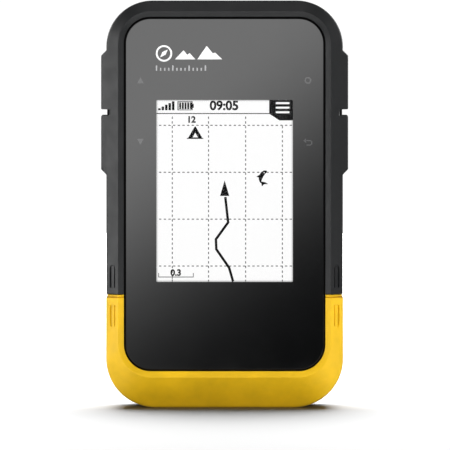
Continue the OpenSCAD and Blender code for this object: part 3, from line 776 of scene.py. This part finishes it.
DOOR = (18.9, 5.2, 83.0, 5.0, 5.0)
DOOR_GAP, DOOR_SEAT = 0.2, 25.3
BACK_PLATE = 23.6
LATCH_Z = 15.4
SCREWS = [(side * x, z) for x, z in ((22.9, 11.1), (23.4, 52.0), (21.6, 92.6)) for side in (1, -1)]
SCREW_SEAT = 22.0
USB_Z = 89.4
LANYARD_SPOT, LANYARD_Z, LANYARD_SIZE = (24.45, 24.5), 17.0, (1.4, 5.2)
BAY_HALF, BAY_MIDDLE, BAY_TALL, BAY_WALL = 15.4, 50.15, 27.75, 1.2


def slanting_slot():
    """Cutter through the lower right corner, at 45 degrees between the side and the back."""
    shape = rounded(LANYARD_SIZE[1] / 2, LANYARD_SIZE[0] / 2, 0.65, n=6)()
    c = cos(pi / 4)    # x and depth of a step along or across the slot
    verts = []
    for h in (-16.0, 16.0):
        for a, b in shape:
            across, deep = LANYARD_SPOT[0] + c * b - c * h, LANYARD_SPOT[1] + c * b + c * h
            verts.append((across, deep - HALF_DEPTH, LANYARD_Z + a))
    return new_object("cut", verts, capped_faces(2, len(shape)))


rear = rear_solid("rear_housing_shell")
hollow = rear_solid("hollow", WALL, SEAM - 1, BACK_PLATE)
bay_outside = rounded(BAY_HALF + BAY_WALL, BAY_TALL + BAY_WALL, 0.6, 0, BAY_MIDDLE)
keep = [plate("keep", bay_outside, 9.0, 26.0)]
keep += [bore(14.0, 26.0, 3.0, x, z) for x, z in SCREWS]
for outline, deep in ((rounded(10.5, 7.7, 0.6, 0, 14.7), 20.4), (rounded(8.4, 5.0, 1.0, 0, USB_Z), 20.6),
                      (rounded(6.0, 8.25, 0.6, 24.5, 13.25), 16.5)):
    keep.append(plate("keep", outline, deep, 26.0))
combine(hollow, keep)
combine(rear, [hollow])
unite(rear, plate("bay", bay_outside, 9.6, 20.0))
cuts = [flared("cut", tall(*moved(DOOR, -DOOR_GAP)), DOOR_SEAT, BACK, 0.25),
        plate("cut", rounded(BAY_HALF, BAY_TALL, 0.8, 0, BAY_MIDDLE), 10.8, 27.0, 0.5),
        plate("cut", rounded(9.1, 6.3, 2.0, 0, LATCH_Z), 24.0, 27.0),
        bore(21.8, 27.0, 5.4, 0, LATCH_Z),
        flared("cut", tall(7.6, 85.05, 97.6, 2.0, 1.0), 23.5, 28.2, 0.15, past=2.0),
        plate("cut", rounded(4.8, 2.55, 1.0, 0, 89.2), 14.0, 24.5)]
for x, z in SCREWS:
    cuts += [bore(14.0, 23.0, 1.2, x, z), bore(SCREW_SEAT, 29.0, 2.2, x, z)]
combine(rear, cuts + [slanting_slot()])
rib = plate("rib", rounded(0.3, 27.9, 0.2, 0, BAY_MIDDLE), 10.5, 13.8, 0.0, 0.2)
unite(rear, rib)
finish_piece(rear, "body", black_shell, ["rear_housing"])

# ---------------------------------------------------------------- lens and display

LENS_FRONT, LENS_BACK = 1.1, 2.7
VIEW = (16.78, 31.26, 76.0)
edge = plate("lens_border", tall(24.38, 9.67, 96.03, 6.18, 6.18), LENS_FRONT, LENS_BACK, 0.18, 0.1)


def view_outline(inset=0.0):
    half_tall, middle = (VIEW[2] - VIEW[1]) / 2, (VIEW[1] + VIEW[2]) / 2
    return rounded(VIEW[0] - inset, half_tall - inset, 0.15, 0, middle, 3)


combine(edge, [plate("cut", view_outline(), 0.5, 3.2)])
finish_piece(edge, "body", lens_black, ["cover_lens"])
glass = plate("lens_window", view_outline(0.004), LENS_FRONT + 0.001, LENS_BACK)
finish_piece(glass, "body", window.material, ["cover_lens"])

# A near-black ring set into the gap round the lens: painted shade where the gap's depth would throw shadow,
# not a real gasket
inner, outer = tall(24.4, 9.65, 96.05, 6.2, 6.2)(), tall(24.79, 9.26, 96.44, 6.59, 6.59)()
gap_shade_ring = [[(x, h, z) for x, z in points]
          for points, h in ((inner, 1.5), (outer, 1.5), (outer, 2.95), (inner, 2.95))]
finish_piece(tube("lens_gap_shade", np.array(gap_shade_ring), True), "body", gap_black)

# the glow falls to 55 % within 0.5 mm of the window's edges: painted shade for the ink mask's shadow, not a
# backlight feature
white = lit("display_white", (1.0, 1.0, 1.0), 0.97, (-VIEW[0], VIEW[0], VIEW[1], VIEW[2], 0.5, 0.55))
ink = lit("display_ink", (0.012, 0.012, 0.013), 0.5)
grey_ink = lit("display_grey", (0.16, 0.16, 0.16), 0.5)
white_ink = lit("display_white_ink", (1.0, 1.0, 1.0), 0.95)
FACE = 2.79
panel = plate("display_panel", rounded(18.6, 25.75, 0.6, 0, 53.6, 4), FACE, 4.6, 0.03, 0.1)
finish_piece(panel, "body", white, ["lcd_panel"])


def bar(x0, x1, z0, z1):
    return [(x0, z0), (x1, z0), (x1, z1), (x0, z1)]


def stroke(points, width):
    """Outline of a mitred line, whose width may change along it."""
    pts = [Vector(p) for p in points]
    wide = width if isinstance(width, (list, tuple)) else [width] * len(pts)
    left, right = [], []
    for i, p in enumerate(pts):
        a = (p - pts[i - 1]).normalized() if i else None
        b = (pts[i + 1] - p).normalized() if i < len(pts) - 1 else None
        way = ((a or b) + (b or a)).normalized()
        side = Vector((-way.y, way.x))
        half = wide[i] / 2 / max(0.5, side.dot(Vector((-(a or b).y, (a or b).x))))
        left.append(tuple(p + side * half))
        right.append(tuple(p - side * half))
    return left + right[::-1]


def circle(x, z, r, n=28):
    return [(x + r * cos(tau * i / n), z + r * sin(tau * i / n)) for i in range(n)]


def hoop(name, x, z, r, width, h0, h1, way="deep", n=40):
    """A flat ring with a rectangular section."""
    section = [(r - width / 2, h0), (r + width / 2, h0), (r + width / 2, h1), (r - width / 2, h1)]
    verts = []
    for i in range(n):
        t = tau * i / n
        verts += [TO_SPACE[way](x + rr * cos(t), z + rr * sin(t), h) for rr, h in section]
    return new_object(name, verts, grid_faces(n, 4, True), 20)


def digits(name, text, size, x, z, h0, h1, bold=0.0, squeeze=1.0):
    """Plain numerals, centred on x with their foot at z."""
    curve_data = bpy.data.curves.new(name, "FONT")
    curve_data.body = text
    curve_data.size = size * MM / 0.72
    curve_data.align_x = "CENTER"
    curve_data.offset = bold * MM
    curve_data.extrude = (h1 - h0) / 2 * MM
    curve_data.resolution_u = 6
    holder = bpy.data.objects.new(name, curve_data)
    bpy.context.scene.collection.objects.link(holder)
    bpy.context.view_layer.update()
    mesh = bpy.data.meshes.new_from_object(holder.evaluated_get(bpy.context.evaluated_depsgraph_get()))
    bpy.data.objects.remove(holder)
    bpy.data.curves.remove(curve_data)
    mesh.transform(Matrix.Translation((x * MM, ((h0 + h1) / 2 - HALF_DEPTH) * MM, z * MM))
                   @ Matrix.Rotation(pi / 2, 4, "X") @ Matrix.Diagonal((squeeze, 1, 1, 1)))
    bm = bmesh.new()
    bm.from_mesh(mesh)
    bmesh.ops.remove_doubles(bm, verts=bm.verts, dist=0.0000005)
    bmesh.ops.recalc_face_normals(bm, faces=bm.faces)
    bm.to_mesh(mesh)
    bm.free()
    obj = bpy.data.objects.new(name, mesh)
    bpy.context.scene.collection.objects.link(obj)
    shade(obj, 20)
    return obj


L1 = (FACE - 0.02, FACE - 0.001)    # grey lines
L2 = (FACE - 0.04, FACE - 0.001)    # dark marks
L3 = (FACE - 0.06, FACE - 0.001)    # white marks on dark ones

dashes = []
for x in (-12.88, -3.96, 5.17, 14.21):
    z = 71.9
    while z > 31.6:
        if not (x > 10 and z > 70.6):
            dashes.append(bar(x - 0.12, x + 0.12, max(z - 0.58, 31.3), z))
        z -= 1.148
for z in (69.75, 58.19, 46.65, 35.11):
    x = -16.15
    while x < 16.1:
        dashes.append(bar(x, x + 0.58, z - 0.12, z + 0.12))
        x += 1.148
dashes += [bar(-16.33, -7.62, 32.3, 32.5), bar(-16.33, -16.15, 32.3, 33.4), bar(-7.8, -7.62, 32.3, 33.4),
           bar(-12.98, -12.8, 31.8, 32.3)]
finish_piece(prisms("display_grid", dashes, *L1), "body", grey_ink)

marks = [bar(-16.78, 11.1, 72.53, 72.75)]
marks.append([(10.96, 76.0), (10.96, 72.6), (13.47, 70.96), (16.78, 70.96), (16.78, 76.0)][::-1])
for i, top in enumerate((73.95, 74.36, 74.82, 75.22, 75.64)):
    marks.append(bar(-16.36 + 0.85 * i, -15.74 + 0.85 * i, 73.46, top))
for i in range(5):
    marks.append(bar(-11.18 + 0.66 * i, -10.7 + 0.66 * i, 73.72, 75.38))
marks += [bar(-11.6, -11.34, 73.44, 75.66), bar(-11.34, -7.88, 75.48, 75.66),
          bar(-11.34, -7.88, 73.44, 73.62), bar(-8.1, -7.88, 73.62, 75.48), bar(-7.88, -7.6, 74.05, 75.05)]
marks.append([(-9.28, 66.41), (-5.26, 66.41), (-5.26, 66.66), (-5.5, 66.66), (-7.12, 69.45), (-7.36, 69.45),
              (-8.98, 66.66), (-9.28, 66.66)])
marks.append([(-1.12, 52.36), (1.14, 52.36), (0.0, 56.2)])
track = [(0.17, 52.1), (0.86, 45.85), (-2.14, 41.7), (-2.05, 39.25), (1.1, 34.7), (2.08, 31.3)]
marks.append(stroke(track, 0.62))
fish = [(10.4, 58.45), (9.9, 58.3), (9.35, 57.85), (8.98, 57.2), (8.78, 56.5), (8.82, 55.95), (9.05, 55.55)]
marks.append(stroke(fish, [0.3, 0.8, 1.05, 1.0, 0.78, 0.48, 0.28]))
marks.append([(9.0, 55.75), (9.15, 54.7), (9.7, 55.25), (10.7, 55.3), (10.0, 55.72), (9.2, 55.9)])
marks.append([(8.6, 57.6), (7.8, 57.1), (8.5, 56.85)])
screen_marks = join("display_marks", [
    prisms("m", marks, *L2),
    digits("m", "09:05", 2.26, -0.1, 73.57, *L2, bold=0.105, squeeze=1.02),
    digits("m", "12", 1.55, -8.2, 70.45, *L2, bold=0.09),
    digits("m", "0.3", 1.55, -12.0, 32.76, *L2, bold=0.09),
])
finish_piece(screen_marks, "body", ink)
whites = [rounded(1.72, 0.25, 0.24, 14.27, z, 4)() for z in (75.21, 74.09, 72.96)]
whites += [circle(9.72, 58.1, 0.14, 12), [(-7.87, 66.78), (-6.52, 66.78), (-7.24, 67.96)]]
finish_piece(prisms("display_menu_bars", whites, *L3), "body", white_ink)

# Marks printed on the lens: generic compass and ridge line, and the functions of the side keys
P0, P1 = LENS_FRONT - 0.004, LENS_FRONT + 0.03
mark = [hoop("m", -14.9, 87.45, 1.8, 0.42, P0, P1)]
mark.append(prisms("m", [
    [(-15.85, 86.5), (-14.55, 87.1), (-13.95, 88.4), (-15.25, 87.8)],
    [(-12.2, 86.0), (-7.2, 86.0), (-8.6, 87.5), (-9.2, 87.1), (-10.1, 88.2)],
    [(-6.7, 86.0), (-0.6, 86.0), (-2.4, 87.7), (-2.9, 87.4), (-4.4, 89.3), (-5.6, 87.6), (-6.0, 87.0)],
], P0, P1))
finish_piece(join("lens_mark", mark), "body", print_white)
ticks = [bar(i - 16.9, i - 16.56, 83.2, 83.9 if i % 4 else 84.5) for i in range(13)]
print_mid = lens_finish("print_mid", (0.3, 0.3, 0.31))
finish_piece(prisms("lens_ticks", ticks, P0, P1), "body", print_mid)
arrows = [[(-21.5, 80.1), (-19.9, 80.1), (-20.7, 81.6)], [(-21.5, 66.45), (-20.7, 65.0), (-19.9, 66.45)]]
icons = [prisms("m", arrows, P0, P1)]
icons.append(hoop("m", 20.45, 80.83, 0.68, 0.36, P0, P1, n=28))
tail = [(19.95, 66.0), (21.0, 66.0), (21.42, 65.75), (21.42, 65.2), (21.0, 64.92), (20.1, 64.92)]
icons.append(prisms("m", [[(19.3, 66.0), (20.05, 65.45), (20.05, 66.55)], stroke(tail, 0.26)], P0, P1))
finish_piece(join("lens_icons", icons), "body", print_grey)

# ---------------------------------------------------------------- keys

INLAY = {
    "up": [[(-1.5, -1.1), (1.5, -1.1), (0, 1.5)]],
    "down": [[(-1.5, 1.1), (0, -1.5), (1.5, 1.1)]],
    "back": [[(-1.7, 0), (-0.2, -1.4), (-0.2, -0.45), (1.5, -0.45), (1.5, 0.45), (-0.2, 0.45), (-0.2, 1.4)]],
}


def side_key(function, side, z):
    """Rubber key with a flange behind the wall, a soft crown and a printed symbol."""
    name, body = function + "_key_cap", function + "_key_body"
    base = rounded(KEY_HALF[0], KEY_HALF[1], KEY_R - 0.15, KEY_DEEP, z, 10)
    levels = [(26.15, -0.9), (26.9, -0.9), (26.95, 0.0), (29.7, 0.0)]
    levels += [(29.7 + 0.45 * sin(t), 0.45 * (1 - cos(t))) for t in (0.4, 0.8, 1.2)]
    levels += [(30.2, 0.62), (30.28, 1.1), (30.35, 1.9), (30.4, 2.8), (30.42, 3.6)]
    key = stack(name, [(side * h, base(inset)) for h, inset in levels], "across")
    nub = [(side * h, r) for h, r in ((25.6, 1.1), (25.7, 1.2), (26.4, 1.2))]
    unite(key, lathe("nub", nub, KEY_DEEP, z, "across", 24))
    finish_piece(key, body, key_rubber, [function + "_key"])
    h0, h1 = side * 30.1, side * 30.47
    if function == "ok":
        sign = hoop(name + "_mark", KEY_DEEP, z, 1.15, 0.55, h0, h1, "across", 32)
    else:
        shapes = [[(KEY_DEEP + side * a, z + b) for a, b in shape] for shape in INLAY[function]]
        sign = prisms(name + "_mark", shapes, h0, h1, "across")
    finish_piece(sign, body, white_print)


for side, functions in ((-1, ("up", "down")), (1, ("ok", "back"))):
    for function, z in zip(functions, KEY_Z):
        side_key(function, side, z)

base = rounded(POWER[2], POWER[3], 1.35, POWER[0], POWER[1], 8)
levels = [(97.4, -0.9), (98.15, -0.9), (98.2, 0.0), (99.85, 0.0)]
levels += [(99.85 + 0.3 * sin(t), 0.3 * (1 - cos(t))) for t in (0.5, 1.0)]
levels += [(100.2, 0.5), (100.26, 1.0), (100.3, 1.6)]
power = stack("power_key_cap", [(h, base(inset)) for h, inset in levels], "up")
unite(power, lathe("nub", [(96.9, 1.1), (97.0, 1.2), (97.8, 1.2)], POWER[0], POWER[1], "up", 24))
finish_piece(power, "power_key_body", key_rubber, ["power_key"])
turns = [radians(a) for a in range(40, 321, 20)]
round_part = [(POWER[0] + 0.75 * sin(t), POWER[1] - 0.75 * cos(t)) for t in turns]
upright = bar(POWER[0] - 0.13, POWER[0] + 0.13, POWER[1] - 1.05, POWER[1] - 0.2)
sign = prisms("power_key_mark", [stroke(round_part, 0.26), upright], 100.2, 100.36, "up")
finish_piece(sign, "power_key_body", white_print)

# ---------------------------------------------------------------- door, latch and ring

door = plate("battery_door_panel", tall(*DOOR), 25.6, BACK, 0.1, 0.45)
combine(door, [rear_solid("shape")], "INTERSECT")
hub = lathe("hub", [(25.2, 3.5), (25.3, 3.6), (26.2, 3.6)], 0, LATCH_Z)
rail = tall(4.6, 35.5, 72.8, 1.0, 1.0, 6)()
stem = stack("stem", [(27.8, rail), (30.95, rail)])
flare = stack("flare", [(h, tall(4.6 + g, 35.5 - g, 72.8, 1.0 + g, 1.0 + g, 6)()) for h, g in
                        ((27.9, 0.5), (28.32, 0.42), (28.45, 0.2), (28.7, 0.05), (28.9, 0.0))])
cap_wall = plate("wall", tall(6.9, 69.6, 72.9, 0.3, 2.8, 8), 28.1, 31.2)
head = plate("head", tall(7.0, 34.0, 73.0, 2.0, 3.0, 8), 30.9, 33.0, 0.25, 0.45)
unite(head, cap_wall)
unite(door, hub, flare, stem, head)
dish = [(26.6, 9.55), (26.68, 9.72), (26.85, 9.8), (28.05, 9.8), (28.15, 9.84), (28.24, 9.95), (28.3, 10.1),
        (29.0, 10.6)]
cuts = [lathe("cut", dish, 0, LATCH_Z, n=72), bore(24.0, 30.0, 2.25, 0, LATCH_Z),
        flared("cut", rounded(3.0, 1.2, 1.15, 0, 66.0), 32.2, 33.0, 0.15)]
# shallow thumb ribs at both sides of the rail
for i in range(6):
    for side in (1, -1):
        rib = rounded(2.4, 0.32, 0.3, side * 13.2, 40.0 + 2.4 * i, 5)
        cuts.append(flared("cut", rib, 27.95, BACK, 0.12, past=0.6))
combine(door, cuts)
finish_piece(door, "door", black_shell, ["battery_door"])

profile = [(22.2, 2.2), (26.74, 2.2), (26.75, 3.9), (26.8, 4.1), (26.95, 4.2), (28.05, 4.2), (28.2, 4.12),
           (28.28, 3.95), (28.3, 3.75)]
rotor = lathe("latch_rotor_hub", profile, 0, LATCH_Z, n=56)
foot = plate("foot", rounded(2.1, 4.8, 1.0, 0, LATCH_Z), 22.2, 23.8, 0.2, 0.15)
unite(rotor, foot)
groove = bore(-9.0, 9.0, 0.62, 27.45, LATCH_Z, "across", 24)
clip_groove = combine(bore(24.7, 25.18, 3.2, 0, LATCH_Z), [bore(24.5, 25.4, 1.7, 0, LATCH_Z)])
coin = plate("cut", rounded(2.6, 0.45, 0.2, 0, LATCH_Z), 27.85, 29.0)
combine(rotor, [groove, clip_groove, coin])
finish_piece(rotor, "latch", inner_black, ["latch_rotor"])

RING_R, RING_IN, RING_DEEP, RING_T = 9.4, 7.1, 27.45, 1.5
middle, wide = (RING_R + RING_IN) / 2, (RING_R - RING_IN) / 2
grid = []
for i in range(41):
    t = radians(180 + 180 * i / 40)
    row = []
    for a, b in rounded(wide, RING_T / 2, 0.55, n=4)():
        row.append(((middle + a) * cos(t), RING_DEEP + b, LATCH_Z + (middle + a) * sin(t)))
    grid.append(row)
d_ring = tube("d_ring_bail", np.array(grid))
end = [(-1.05, 0.6), (-0.95, 0.75), (0.95, 0.75), (1.05, 0.6)]
ends = [lathe("end", [(side * middle + h, r) for h, r in end], RING_DEEP, LATCH_Z, "across", 28)
        for side in (1, -1)]
pin = bore(-middle, middle, 0.57, RING_DEEP, LATCH_Z, "across", 24)
combine(d_ring, ends + [pin], "UNION")
finish_piece(d_ring, "ring", ring_steel, ["d_ring"])

# ---------------------------------------------------------------- screws and cap

shank = [(8.5, 0.7), (8.8, 1.0), (22.0, 1.0), (22.01, 1.8), (22.15, 1.95), (23.1, 1.95), (23.35, 1.8),
         (23.48, 1.5), (23.5, 1.3)]
screws = []
for x, z in SCREWS:
    socket = lathe("s", [(22.4, 0.72), (23.4, 0.75), (23.7, 0.95)], x, z, n=6)
    screws.append(combine(lathe("s", shank, x, z, n=32), [socket]))
finish_piece(join("housing_screw_set", screws), "body", screw_steel, ["housing_screws"])

cap = plate("usb_cap_cover", tall(7.4, 85.4, 95.4, 1.8, 0.5, 8), 23.65, 29.0, 0.15)
combine(cap, [rear_solid("shape")], "INTERSECT")
plug = plate("plug", rounded(4.6, 2.1, 0.9, 0, USB_Z), 22.3, 23.9, 0.3)
unite(cap, plug)
cuts = [plate("cut", rounded(3.5, 1.1, 1.0, 0, 85.4), 27.7, 30.0, 0.2),
        bore(-9.0, 9.0, 0.35, 25.35, 95.52, "across", 24)]
for i in range(3):
    cuts.append(plate("cut", rounded(4.6, 0.28, 0.25, 0, 88.2 + 1.3 * i, 5), 27.3 - 0.55 * i, 30.0))
combine(cap, cuts)
finish_piece(cap, "cap", key_rubber, ["usb_cap"])

# ---------------------------------------------------------------- CAD nodes carried over

SLOT_LOOKS = {
    "inner_black": inner_black, "black_shell": black_shell,
    "dark_shell": dark_shell, "yellow_shell": yellow_shell,
    "diffuser": moulded("diffuser", (0.8, 0.8, 0.78), 0.5, Subsurface_Weight=0.0),
    "ribbon": moulded("ribbon", (0.55, 0.22, 0.03), 0.3, Coat_Weight=0.5),
    "board": board(),
    "package": moulded("package", (0.018, 0.018, 0.02), 0.5, grain=0.15),
    "tin": tin, "ceramic": moulded("ceramic", (0.42, 0.36, 0.26), 0.6, grain=0.4, relief=0.02),
    "switch": moulded("switch", (0.36, 0.36, 0.34), 0.45),
    "key_rubber": key_rubber, "seal_rubber": seal_rubber,
    "foam": rubber("foam", (0.03, 0.03, 0.03), 0.9), "screw_steel": screw_steel, "spring_steel": spring_steel,
    "cell_wrap": cell_wrap(27.0, 68.0), "brass_contact": brass, "ring_steel": ring_steel,
    "lens": lens_black, "display": white,
}
slots = {row["node"]: row["material_slot"] for row in frame["record"]["subparts"]}
for name, obj in frame["nodes"].items():
    if not obj.hide_render:
        obj.data.materials.clear()
        obj.data.materials.append(SLOT_LOOKS[slots[name]])

# ---------------------------------------------------------------- stage, lights and camera

scene = bpy.context.scene
scene.view_settings.view_transform = "Standard"

floor_mesh = bpy.data.meshes.new("floor")
bm = bmesh.new()
bmesh.ops.create_circle(bm, cap_ends=True, segments=96, radius=1.25)
bm.to_mesh(floor_mesh)
bm.free()
floor = add_object("floor", floor_mesh)
paper = Nodes("floor", (0.3, 0.3, 0.3), 1.0, Specular_IOR_Level=0.0, Emission_Color=(1, 1, 1, 1))
away = paper.node("ShaderNodeVectorMath", [("Vector", paper.place)], operation="LENGTH").outputs["Value"]
paper.wire(paper.ramp(away, 0.2, 0.6, 0.0, 0.95), "Emission Strength")
floor_mesh.materials.append(paper.material)
floor.visible_glossy = False

world = bpy.data.worlds.new("studio")
world.use_nodes = True
scene.world = world
tree = world.node_tree
soft = tree.nodes["Background"]
seen = tree.nodes.new("ShaderNodeBackground")
for shader, strength in ((soft, 0.15), (seen, 1.05)):
    shader.inputs["Color"].default_value = (1, 1, 1, 1)
    shader.inputs["Strength"].default_value = strength
mix = tree.nodes.new("ShaderNodeMixShader")
path = tree.nodes.new("ShaderNodeLightPath")
for i, source in enumerate((path.outputs["Is Camera Ray"], soft.outputs[0], seen.outputs[0])):
    tree.links.new(source, mix.inputs[i])
tree.links.new(mix.outputs[0], tree.nodes["World Output"].inputs["Surface"])

# The floor has its own long strip overhead, so its shadow stays close; the other lights skip it
only_floor = bpy.data.collections.new("only_floor")
only_floor.objects.link(floor)
not_floor = bpy.data.collections.new("not_floor")
not_floor.objects.link(floor)
not_floor.collection_objects[0].light_linking.link_state = "EXCLUDE"
floor.light_linking.receiver_collection = only_floor


def look(obj, target):
    obj.rotation_euler = (Vector(target) - obj.location).to_track_quat("-Z", "Y").to_euler()


# Name, place, target, size and power of each area light
MID = (0, 0, 0.05)
LIGHTS = [
    ("left", (-0.8, -0.10, 0.08), MID, (0.45, 0.5), 2.0),
    ("right_front", (0.8, -0.42, 0.15), MID, (0.25, 0.5), 0.4),
    ("front", (0.2, -1.0, 0.09), MID, (0.9, 0.16), 4.5),
    ("high", (0.1, -0.7, 0.8), MID, (0.6, 0.3), 1.3),
    ("bounce", (0.0, -0.075, 0.002), (0, -0.075, 1), (0.16, 0.08), 0.0335),
    ("top", (0.0, -0.05, 0.9), MID, (0.6, 0.5), 0.4),
    ("back_left", (-0.7, 0.6, 0.35), MID, (0.5, 0.5), 3.0),
    ("back_right", (0.7, 0.6, 0.35), MID, (0.5, 0.5), 3.0),
    ("strip", (0.0, 2.0, 0.69), (0, 2.0, 0), (0.76, 4.0), 192.0),
]
for name, where, target, size, power in LIGHTS:
    data = bpy.data.lights.new(name, "AREA")
    data.shape = "RECTANGLE"
    data.size, data.size_y = size
    data.energy = power
    light = add_object(name, data)
    light.location = where
    look(light, target)
    light.light_linking.receiver_collection = only_floor if name == "strip" else not_floor
    light.visible_camera = False
    light.visible_glossy = name not in ("front", "high")

# A soft panel in front, bright at its upper left and dark at its lower right, that the flat lens mirrors
CARD_POWER, CARD_START, CARD_FALL = 3.15, 0.12, 8.0
card_mesh = bpy.data.meshes.new("reflector_card")
corners = [(-0.05, 0, 0.0005), (0.05, 0, 0.0005), (0.05, 0, 0.13), (-0.05, 0, 0.13)]
card_mesh.from_pydata(corners, [], [(0, 1, 2, 3)])
card = add_object("reflector_card", card_mesh)
card.location = (0, -0.181, 0)
card.visible_camera = False
card.visible_shadow = False
card.light_linking.receiver_collection = not_floor
glow = Nodes("reflector_card", (0, 0, 0), 1.0, Specular_IOR_Level=0.0, Emission_Color=(1, 1, 1, 1))
split = glow.node("ShaderNodeSeparateXYZ", [("Vector", glow.place)]).outputs
across = glow.times(split["X"], 0.77)
slant = glow.node("ShaderNodeMath", [(0, across), (1, split["Z"])], operation="SUBTRACT")
fade = glow.node("ShaderNodeValToRGB", [("Fac", glow.ramp(slant.outputs[0], -0.0999, 0.0227, 0.0, 1.0))])
stops = fade.color_ramp.elements
stops.remove(stops[-1])
for i in range(23):
    where = CARD_START + (1 - CARD_START) * i / 22
    stop = stops.new(where) if i else stops[0]
    stop.position = where
    level = exp(-CARD_FALL * (where - CARD_START) ** 2)
    stop.color = (level, level, level, 1)
glow.wire(glow.times(fade.outputs["Color"], CARD_POWER), "Emission Strength")
card_mesh.materials.append(glow.material)

camera_data = bpy.data.cameras.new("camera")
camera_data.lens = 600
camera_data.sensor_width = 36
camera = add_object("camera", camera_data)
scene.camera = camera
LIFT = radians(1.9)
aim = Vector((0.00009, -0.0105, 0.0451))
camera.location = aim + Vector((0, -cos(LIFT), sin(LIFT))) * (0.11095 / 0.06)
look(camera, aim)
camera_data.clip_start, camera_data.clip_end = 0.01, 20
